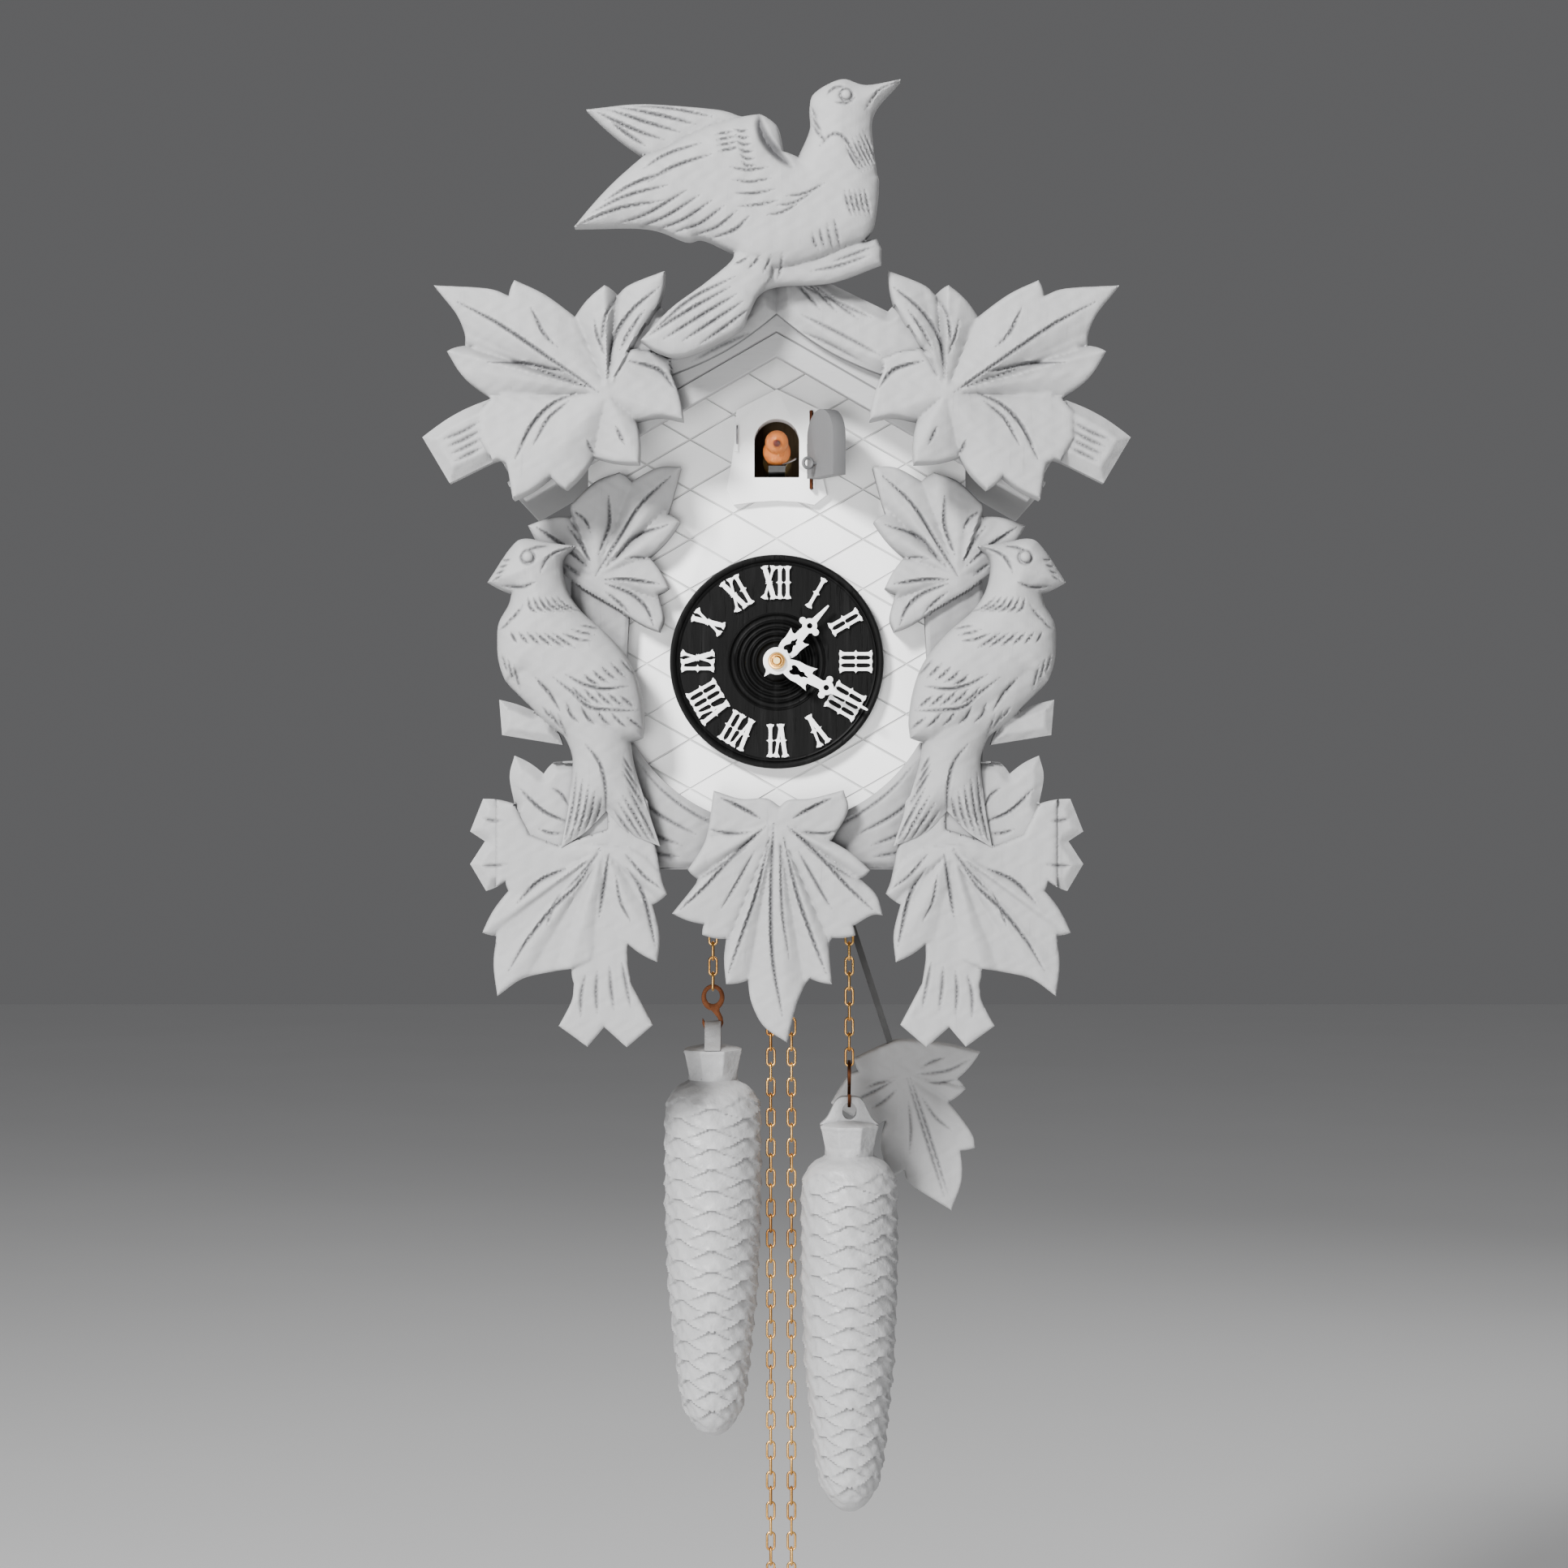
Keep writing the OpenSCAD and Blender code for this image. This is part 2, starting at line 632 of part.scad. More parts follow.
module time_great_wheel() {
    color(brass) {
        gear(time_x, sprocket_z, 48, 22.03, wheel_phase, plate_1 + 6, 1.5);
        bar_y(time_x, sprocket_z, arbor_r, plate_1 - 1, plate_2 + plate_t + 1);
    }
}

fly_phase = atan2(fly_z - sprocket_z, fly_x - strike_x);

module strike_great_wheel() {
    color(brass) {
        gear(strike_x, sprocket_z, 80, 20, fly_phase, plate_1 + 16, 1.5);
        bar_y(strike_x, sprocket_z, arbor_r, plate_1 - 1, plate_2 + plate_t + 1);
    }
}

module sprocket(x) {
    color(brass) difference() {
        union() {
            bar_y(x, sprocket_z, 8.4, chain_y - 2.4, chain_y + 2.4);
            bar_y(x, sprocket_z, 4, chain_y - 4, chain_y + 4);
        }
        bar_y(x, sprocket_z, arbor_r + fit, chain_y - 5, chain_y + 5);
    }
}

module sprocket_left() { sprocket(strike_x); }

module sprocket_right() { sprocket(time_x); }

module centre_wheel() {
    to_third = atan2(third_z, third_x);
    color(brass) {
        gear(0, 0, 8, 3.67, wheel_phase + 180 + 22.5, plate_1 + 4, 6);
        gear(0, 0, 72, 18, to_third, plate_1 + 12, 1.5);
        bar_y(0, 0, centre_r, hand_y - 7, plate_2 + plate_t + 1);
    }
}

module third_wheel() {
    to_third = atan2(third_z, third_x);
    to_escape = atan2(escape_z - third_z, -third_x);
    color(brass) {
        gear(third_x, third_z, 6, 1.5, to_third + 180 + 30, plate_1 + 10, 6);
        gear(third_x, third_z, 75, 15, to_escape, plate_1 + 19, 1.5);
        bar_y(third_x, third_z, thin_r, plate_1 - 1, plate_2 + plate_t + 1);
    }
}

module escape_wheel() {
    to_escape = atan2(escape_z - third_z, -third_x);
    teeth = 30;
    color(brass) {
        gear(0, escape_z, 6, 1.2, to_escape + 180 + 30, plate_1 + 17, 6);
        board(plate_2 - 5, 1.2) translate([0, escape_z])
            polygon([for (i = [0 : teeth - 1]) for (q = [[8, 0], [10, 3], [8, 4]])
                let (a = i * 360 / teeth + q[1]) [q[0] * cos(a), q[0] * sin(a)]]);
        bar_y(0, escape_z, escape_r, plate_1 - 1, plate_2 + plate_t + 1);
    }
}

// the anchor on its arbor, with the crutch that reaches down to the pendulum leader
module anchor() {
    lean = swing_rest * crutch_ratio;
    y_crutch = pendulum_y + 5;
    color(brass) translate([0, 0, dial_z + anchor_z]) rotate([0, -lean, 0]) translate([0, 0, -dial_z - anchor_z]) {
        board(plate_2 - 4.6, 2) translate([0, anchor_z]) polygon([[-9.6, -3], [-11.2, -10],
            [-12.8, -10], [-11.2, 1], [0, 4], [11.2, 1], [12.8, -10], [11.2, -10], [9.6, -3], [0, -1.5]]);
        bar_y(0, anchor_z, thin_r, plate_1 - 1, y_crutch + 1);
        board(y_crutch + 0.6, 1.2) translate([-0.6, anchor_z - 65]) square([1.2, 65]);
        // fork round the leader
        for (side = [-1, 1]) translate([side * 2.4 - 0.5, pendulum_y - 1.5, dial_z + anchor_z - 65])
            cube([1, y_crutch - pendulum_y + 1.5, 1]);
        translate([-2.9, y_crutch - 0.6, dial_z + anchor_z - 65]) cube([5.8, 1.2, 1]);
    }
}

module hour_wheel() {
    color(brass) difference() {
        union() {
            gear(0, 0, 40, 14, 0, plate_1 - 3, 1.5);
            bar_y(0, 0, 3.2, hand_y - 1.5, plate_1 - 1.5);
        }
        bar_y(0, 0, 1.7, hand_y - 3, plate_1);
    }
}

module gong() {
    color(black) {
        for (r = [20, 16, 12]) translate([-10, -10, dial_z + 20]) rotate([90, 0, 0])
            rotate_extrude() translate([r, 0]) circle(0.9);
        translate([-31, -11, dial_z + 19]) cube([12, 2, 2]);
        bar_y(-30, 20, 2, -10.5, -5);
    }
}

module hammer() {
    y = plate_2 + plate_t + 3.5;
    color(black) {
        bar_y(hammer_x, hammer_z, thin_r, plate_1 - 1, y + 1);
        board(y + 1, 1.5) translate([hammer_x, hammer_z]) polygon([[-1, -1], [1, -1], [-7.5, 27], [-9.5, 27]]);
        bar_y(17.5, 30, 3, y, -8);
    }
}

module fly() {
    color(brass) {
        gear(fly_x, fly_z, 8, 2, fly_phase + 180 + 22.5, plate_1 + 14, 6);
        bar_y(fly_x, fly_z, thin_r, plate_1 - 1, plate_2 + plate_t + 1);
        translate([fly_x - 10, chain_y + 5, dial_z + fly_z - 0.4]) cube([20, plate_2 - 1.5 - chain_y - 5, 0.8]);
    }
}

bellows_y = plate_1 + 4;

module bellows_box() {
    translate([-inner_w + 1, bellows_y, dial_z - 40]) cube([14, 24, 62]);
}

module bellows_boxes() {
    color(wood) {
        bellows_box();
        mirrored() bellows_box();
    }
}

// lid with a round back edge, on which it lifts
module bellows_lid() {
    translate([-inner_w + 1, bellows_y, dial_z + 22.4]) {
        cube([14, 24, 2.5]);
        translate([0, 24, 1.25]) rotate([0, 90, 0]) cylinder(r = 1.25, h = 14);
    }
}

module bellows_lid_left() { color(wood) bellows_lid(); }

module bellows_lid_right() { color(wood) mirrored() bellows_lid(); }

case_left_wall();
case_right_wall();
case_floor();
front_panel();
door_plaque();
back_rail();
hanger_plate();
back_door();
turn_button();
roof_left();
roof_right();
fascia();
dial();
numerals();
minute_hand();
hour_hand();
hand_nut();
cuckoo_door();
door_hinge_wire();
cuckoo_bird();
bird_lever();
side_carving_left();
side_carving_right();
bottom_rail();
low_leaf_left();
low_leaf_right();
centre_leaf();
side_bird_left();
side_bird_right();
crown_left();
crown_right();
crown_bird();
weight_left();
weight_right();
hook_left();
hook_right();
load_chain_left();
load_chain_right();
free_chain_left();
free_chain_right();
pendulum_leader();
pendulum_leaf();
movement_front_plate();
movement_back_plate();
plate_pillars();
time_great_wheel();
strike_great_wheel();
sprocket_left();
sprocket_right();
centre_wheel();
third_wheel();
escape_wheel();
anchor();
hour_wheel();
gong();
hammer();
fly();
bellows_boxes();
bellows_lid_left();
bellows_lid_right();
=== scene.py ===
"""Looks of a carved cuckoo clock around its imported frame. Metres, in the frame's own axes:
X to the right, Y back to the wall, Z up. Outlines and gouge strokes are given in millimetres from the dial's axis."""

import bmesh
import bpy
import numpy as np
from mathutils import Matrix, Vector, geometry


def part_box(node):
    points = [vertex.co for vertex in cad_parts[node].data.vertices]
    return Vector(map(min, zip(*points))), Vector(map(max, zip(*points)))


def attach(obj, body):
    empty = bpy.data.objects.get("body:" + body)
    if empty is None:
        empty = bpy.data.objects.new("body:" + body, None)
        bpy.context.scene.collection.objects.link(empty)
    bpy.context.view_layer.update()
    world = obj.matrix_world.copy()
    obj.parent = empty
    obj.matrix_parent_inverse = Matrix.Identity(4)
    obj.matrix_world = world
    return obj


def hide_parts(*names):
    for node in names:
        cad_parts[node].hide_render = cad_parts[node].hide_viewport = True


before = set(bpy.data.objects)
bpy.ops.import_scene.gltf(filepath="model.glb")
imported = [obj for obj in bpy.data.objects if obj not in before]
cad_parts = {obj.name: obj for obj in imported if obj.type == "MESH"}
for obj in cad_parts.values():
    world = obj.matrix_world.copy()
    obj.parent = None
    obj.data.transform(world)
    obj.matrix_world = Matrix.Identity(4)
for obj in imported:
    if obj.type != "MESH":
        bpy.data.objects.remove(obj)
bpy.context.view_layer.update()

# ---- The view: camera in front of the clock, a little below the dial ----
# The clock hangs, so the pale floor lies well below it. The lights are large and soft, the main one
# high in front to the left, so that the crown shades the board behind it.
dial_low, dial_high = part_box("dial")
axis_z = (dial_low.z + dial_high.z) / 2

camera = bpy.data.objects.new("camera", bpy.data.cameras.new("camera"))
camera.data.lens = 73.9
camera.data.sensor_width = 36
camera.data.clip_start = 0.02
camera.matrix_world = Matrix.Translation((0.0026, -1.25,
                                          axis_z - 0.0439)) @ Matrix.Rotation(np.pi / 2, 4, "X")
bpy.context.scene.collection.objects.link(camera)
bpy.context.scene.camera = camera

for name, at, size, power in (("key", (-0.85, -1.45, 0.85), 0.34, 95), ("fill", (1.2, -1.7, 0.2), 1.2, 5),
                              ("low", (-0.35, -1.8, -0.3), 0.6, 20), ("behind", (0.7, 1.4, 0.9), 1.2, 10)):
    lamp = bpy.data.objects.new(name, bpy.data.lights.new(name, "AREA"))
    lamp.data.size = size
    lamp.data.energy = power
    aim = Vector((0, -0.05, axis_z)) - Vector(at)
    lamp.matrix_world = Matrix.Translation(at) @ aim.to_track_quat("-Z", "Y").to_matrix().to_4x4()
    bpy.context.scene.collection.objects.link(lamp)

# The room is seen as bright as the floor is under it, so that the two meet without a line.
world = bpy.data.worlds.new("studio")
world.use_nodes = True
room = world.node_tree
room.nodes["Background"].inputs["Color"].default_value = (0.17, 0.17, 0.174, 1)
seen = room.nodes.new("ShaderNodeBackground")
seen.inputs["Color"].default_value = (0.122, 0.122, 0.125, 1)
either = room.nodes.new("ShaderNodeMixShader")
room.links.new(room.nodes.new("ShaderNodeLightPath").outputs["Is Camera Ray"], either.inputs[0])
room.links.new(room.nodes["Background"].outputs[0], either.inputs[1])
room.links.new(seen.outputs[0], either.inputs[2])
room.links.new(either.outputs[0], room.nodes["World Output"].inputs["Surface"])
bpy.context.scene.world = world


# ---- Shader maths, used by every finish below ----
# Num is a number on a surface and Finish a material being mixed.
class Num:
    """A value socket that adds its own Math nodes when it is used in an expression."""

    def __init__(self, finish, socket):
        self.finish = finish
        self.socket = socket

    def math(self, operation, *values, clamp=False):
        node = self.finish.node("ShaderNodeMath", {"operation": operation, "use_clamp": clamp},
                                dict(enumerate(values)))
        return Num(self.finish, node.outputs[0])

    def __add__(self, other):
        return self.math("ADD", self, other)

    def __sub__(self, other):
        return self.math("SUBTRACT", self, other)

    def __rsub__(self, other):
        return self.math("SUBTRACT", other, self)

    def __mul__(self, other):
        return self.math("MULTIPLY", self, other)

    def __pow__(self, other):
        return self.math("POWER", self, other)

    def __truediv__(self, other):
        return self.math("DIVIDE", self, other)

    __radd__ = __add__
    __rmul__ = __mul__

    def clamped(self):
        return self.math("ADD", self, 0.0, clamp=True)


class Finish:
    """A material with one Principled shader."""

    def __init__(self, name, **fixed):
        self.material = bpy.data.materials.new(name)
        self.material.use_nodes = True
        self.tree = self.material.node_tree
        self.shader = self.tree.nodes["Principled BSDF"]
        for socket, value in fixed.items():
            self.shader.inputs[socket.replace("_", " ")].default_value = value
        self.place = self.node("ShaderNodeTexCoord").outputs["Object"]

    def node(self, kind, settings=None, values=None):
        node = self.tree.nodes.new(kind)
        for key, value in (settings or {}).items():
            if key == "stops":
                ramp = node.color_ramp
                while len(ramp.elements) < len(value):
                    ramp.elements.new(0.5)
                for element, (at, colour) in zip(ramp.elements, value):
                    element.position = at
                    element.color = (*colour, 1)
            else:
                setattr(node, key, value)
        for key, value in (values or {}).items():
            value = value.socket if isinstance(value, Num) else value
            if isinstance(value, bpy.types.NodeSocket):
                self.tree.links.new(value, node.inputs[key])
            else:
                node.inputs[key].default_value = value
        return node

    def noise(self, scale, detail=3.0, stretch=(1, 1, 1), rough=0.55):
        at = self.node("ShaderNodeMapping", None, {"Vector": self.place, "Scale": stretch}).outputs[0]
        made = self.node("ShaderNodeTexNoise", None, {"Vector": at, "Scale": scale, "Detail": detail,
                                                      "Roughness": rough})
        return Num(self, made.outputs[0])

    def attribute(self, name):
        return Num(self, self.node("ShaderNodeAttribute", {"attribute_name": name}).outputs["Fac"])

    def hidden(self, reach):
        """How far a spot is shut in by what stands within reach of it, from 0 to 1."""
        made = self.node("ShaderNodeAmbientOcclusion", {"samples": 8}, {"Distance": reach})
        return 1 - Num(self, made.outputs["AO"])

    def steps(self, value, low, high):
        made = self.node("ShaderNodeMapRange", {"interpolation_type": "SMOOTHSTEP"},
                         {"Value": value, "From Min": low, "From Max": high})
        return Num(self, made.outputs[0])

    def mix(self, share, first, second):
        first = (*first, 1) if isinstance(first, tuple) else first
        second = (*second, 1) if isinstance(second, tuple) else second
        made = self.node("ShaderNodeMix", {"data_type": "RGBA"}, {0: share, 6: first, 7: second})
        return made.outputs[2]

    def use(self, colour=None, roughness=None, height=None, relief=0.0002):
        if colour is not None:
            self.tree.links.new(colour, self.shader.inputs["Base Color"])
        if roughness is not None:
            self.tree.links.new(roughness.socket, self.shader.inputs["Roughness"])
        if height is not None:
            bump = self.node("ShaderNodeBump", None, {"Height": height, "Distance": relief,
                                                      "Strength": 1.0})
            self.tree.links.new(bump.outputs[0], self.shader.inputs["Normal"])
        return self.material


def paint(name, colour, painted_shade_and_grain, grain=0.5):
    """Matte paint sprayed on carved limewood: faint long grain under it, painted shade in the gouges and wherever
    the carving shuts a spot in, and a painted highlight in patches on the proud edges."""
    finish = Finish(name, Specular_IOR_Level=0.3)
    groove = finish.attribute("groove")
    edge_highlight = finish.attribute("edge")
    cloud = finish.noise(26, 4)
    speck = finish.noise(900, 2)
    fibre = finish.noise(60, 5, (7, 7, 0.6))
    shade = finish.mix(cloud, tuple(c * 0.93 for c in colour), tuple(min(1, c * 1.05) for c in colour))
    # Painted shade: darker where the carving shuts a spot in, by ambient occlusion, in the dark colour.
    shade = finish.mix((finish.hidden(0.014) * 1.1).clamped(), shade, painted_shade_and_grain)
    # Painted shade in the gouges, darker the deeper the cut.
    shade = finish.mix((groove * (0.75 + 0.4 * cloud)).clamped(), shade, painted_shade_and_grain)
    # The grain's dark streaks, in the same dark colour.
    shade = finish.mix((finish.steps(fibre, 0.62, 0.8) * 0.22), shade, painted_shade_and_grain)
    # Painted highlight: lighter in patches along the proud edges.
    shade = finish.mix((edge_highlight * finish.steps(cloud, 0.45, 0.75) * 0.5).clamped(), shade,
                       tuple(min(1, c * 1.18 + 0.03) for c in colour))
    rough = 0.52 + 0.16 * cloud + 0.12 * groove
    height = grain * fibre + 0.25 * speck + 0.4 * cloud
    return finish.use(shade, rough, height, 0.00022)


# ---- Carving: every leaf, bird and bar is a board sawn to its outline and carved from the front ----
# The outline is the CAD board's own, with its long runs eased into curves. The face is a height field:
# layers one in front of another, each with a rounded or bevelled edge, folds that run from a leaf's notches
# to its stalk, and single gouge strokes that start and end at the surface.
# The second colour is the painted shade in the gouges and hollows, and also the grain's dark streaks.
grey_paint = paint("grey_paint", (0.305, 0.305, 0.307), (0.07, 0.07, 0.073))
MM = 0.001
rng = np.random.default_rng(7)


def loop_of(node):
    """The outline of a CAD board's front face, in millimetres from the dial's axis, anticlockwise."""
    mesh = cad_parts[node].data
    front = min(v.co.y for v in mesh.vertices)
    key = [(round(v.co.x * 1e5),
            round(v.co.z * 1e5)) if v.co.y < front + 1e-5 else None for v in mesh.vertices]
    count = {}
    for face in mesh.polygons:
        corners = [key[i] for i in face.vertices]
        if None in corners:
            continue
        for a, b in zip(corners, corners[1:] + corners[:1]):
            count[(a, b)] = count.get((a, b), 0) + 1
    follow = {a: b for (a, b) in count if (b, a) not in count}
    loops = []
    while follow:
        at, after = follow.popitem()
        loop = [at]
        while after in follow:
            loop.append(after)
            after = follow.pop(after)
        loops.append(loop)
    loop = np.array(max(loops, key=len), float) * 1e-2 - (0, axis_z * 1000)
    area = np.sum(loop[:, 0] * np.roll(loop[:, 1], -1) - np.roll(loop[:, 0], -1) * loop[:, 1])
    loop = loop if area > 0 else loop[::-1]
    ahead = np.roll(loop, -1, 0) - loop
    behind = loop - np.roll(loop, 1, 0)
    bend = ahead[:, 0] * behind[:, 1] - ahead[:, 1] * behind[:, 0]
    return loop[np.abs(bend) > 0.02 * np.hypot(*ahead.T) * np.hypot(*behind.T)]


def catmull(p0, p1, p2, p3, n):
    t = np.linspace(0, 1, n, endpoint=False)[:, None]
    return 0.5 * (2 * p1 + (p2 - p0) * t + (2 * p0 - 5 * p1 + 4 * p2 - p3) * t**2 + (3 * p1 - p0 - 3 * p2 + p3) * t**3)


def eased(points, corner=42, bulge=0.05, step=0.8, firm=()):
    """A closed outline with its corners kept, its other points rounded through, and straight runs between
    two corners bowed out a little, as a fretsaw leaves a leaf's edge. Corners in firm are sawn ones, with
    straight edges between them."""
    points = np.array(points, float)
    hard = [any(np.hypot(p[0] - x, p[1] - z) < 1.5 for x, z in firm) for p in points]
    ahead = np.roll(points, -1, 0) - points
    behind = points - np.roll(points, 1, 0)
    turn = np.degrees(np.abs(np.arctan2(behind[:, 0] * ahead[:, 1] - behind[:, 1] * ahead[:, 0],
                                        (behind * ahead).sum(1))))
    sharp = (turn > corner) | hard
    out = []
    n = len(points)
    for i in range(n):
        a, b = points[i], points[(i + 1) % n]
        length = np.hypot(*(b - a))
        count = max(2, int(round(length / step)))
        if sharp[i] and sharp[(i + 1) % n]:
            t = np.linspace(0, 1, count, endpoint=False)[:, None]
            side = np.array([(b - a)[1], -(b - a)[0]]) * (0 if hard[i] and hard[(i + 1) % n] else bulge)
            out.append(a + (b - a) * t + side * np.sin(np.pi * t))
        else:
            before = 2 * a - b if sharp[i] else points[i - 1]
            after = 2 * b - a if sharp[(i + 1) % n] else points[(i + 2) % n]
            out.append(catmull(before, a, b, after, count))
    return np.concatenate(out)


def stroke(points, step=1.6):
    """A gouge stroke's path, rounded through its points."""
    points = np.array(points, float)
    if len(points) == 2:
        points = np.array([points[0], points.mean(0), points[1]])
    ends = np.vstack([2 * points[0] - points[1], points, 2 * points[-1] - points[-2]])
    parts = [catmull(*ends[i:i + 4], max(2, int(np.hypot(*(ends[i + 2] - ends[i + 1])) / step)))
             for i in range(len(points) - 1)]
    return np.vstack([*parts, points[-1:]])


def away(at, path, closed=False):
    """How far each point is from a path, and how far along it the nearest place is, from 0 to 1."""
    a = path if closed else path[:-1]
    b = np.roll(path, -1, 0) if closed else path[1:]
    best = np.full(len(at), 1e9)
    along = np.zeros(len(at))
    run = np.concatenate([[0], np.cumsum(np.hypot(*(b - a).T))])
    for i in range(len(a)):
        d = b[i] - a[i]
        t = np.clip(((at - a[i]) @ d) / max(d @ d, 1e-9), 0, 1)
        far = np.hypot(*(at - a[i] - t[:, None] * d).T)
        near = far < best
        best[near] = far[near]
        along[near] = (run[i] + t[near] * (run[i + 1] - run[i])) / run[-1]
    return best, along


def inside(at, path):
    hit = np.zeros(len(at), bool)
    x, z = at.T
    for (ax, az), (bx, bz) in zip(path, np.roll(path, -1, 0)):
        if az != bz:
            hit ^= ((az > z) != (bz > z)) & (x < (bx - ax) * (z - az) / (bz - az) + ax)
    return hit


class Layer:
    """One level of a carving: its edge, how far its face stands from the back, and how its edge falls.
    A leaf's layer has a hub, and folds from the ribs that run to its tips down to its notches."""

    def __init__(self, edge, top, width, drop, hub=None, tips=(), notches=(), fold=4.0, droop=1.5,
                 chamfer=False,
                 tilt=None):
        self.edge = np.array(edge, float)
        self.top = top
        self.width = width
        self.drop = drop
        self.chamfer = chamfer
        self.tilt = tilt
        self.hub = None if hub is None else np.array(hub, float)
        self.ribs = [stroke([hub, tip]) for tip in tips]
        self.dips = [stroke([notch, np.array(notch) + 0.85 * (np.array(hub) - notch)]) for notch in notches]
        self.fold = fold
        self.droop = droop

    def height(self, at):
        gap, _ = away(at, self.edge, closed=True)
        held = inside(at, self.edge) | (gap < 1e-3)
        fall = np.clip(1 - gap / self.width, 0, 1)
        high = self.top - self.drop * (fall if self.chamfer else 1 - np.sqrt(1 - fall**2))
        if self.tilt is not None:
            start, slope, most = self.tilt
            high = high - np.clip((at - start) @ np.array(slope, float), 0, most)
        if self.hub is not None:
            reach = np.hypot(*(at - self.hub).T)
            rib = np.min([away(at, path)[0] for path in self.ribs], 0)
            dip = np.min([away(at, path)[0] for path in self.dips], 0)
            share = rib / (rib + dip + 1e-6)
            high = high - self.fold * share**1.5 * np.clip(reach / 20, 0, 1)
            high = high - self.droop * np.clip(reach / 55, 0, 1) ** 2
        return np.where(held, high, -1e9), gap


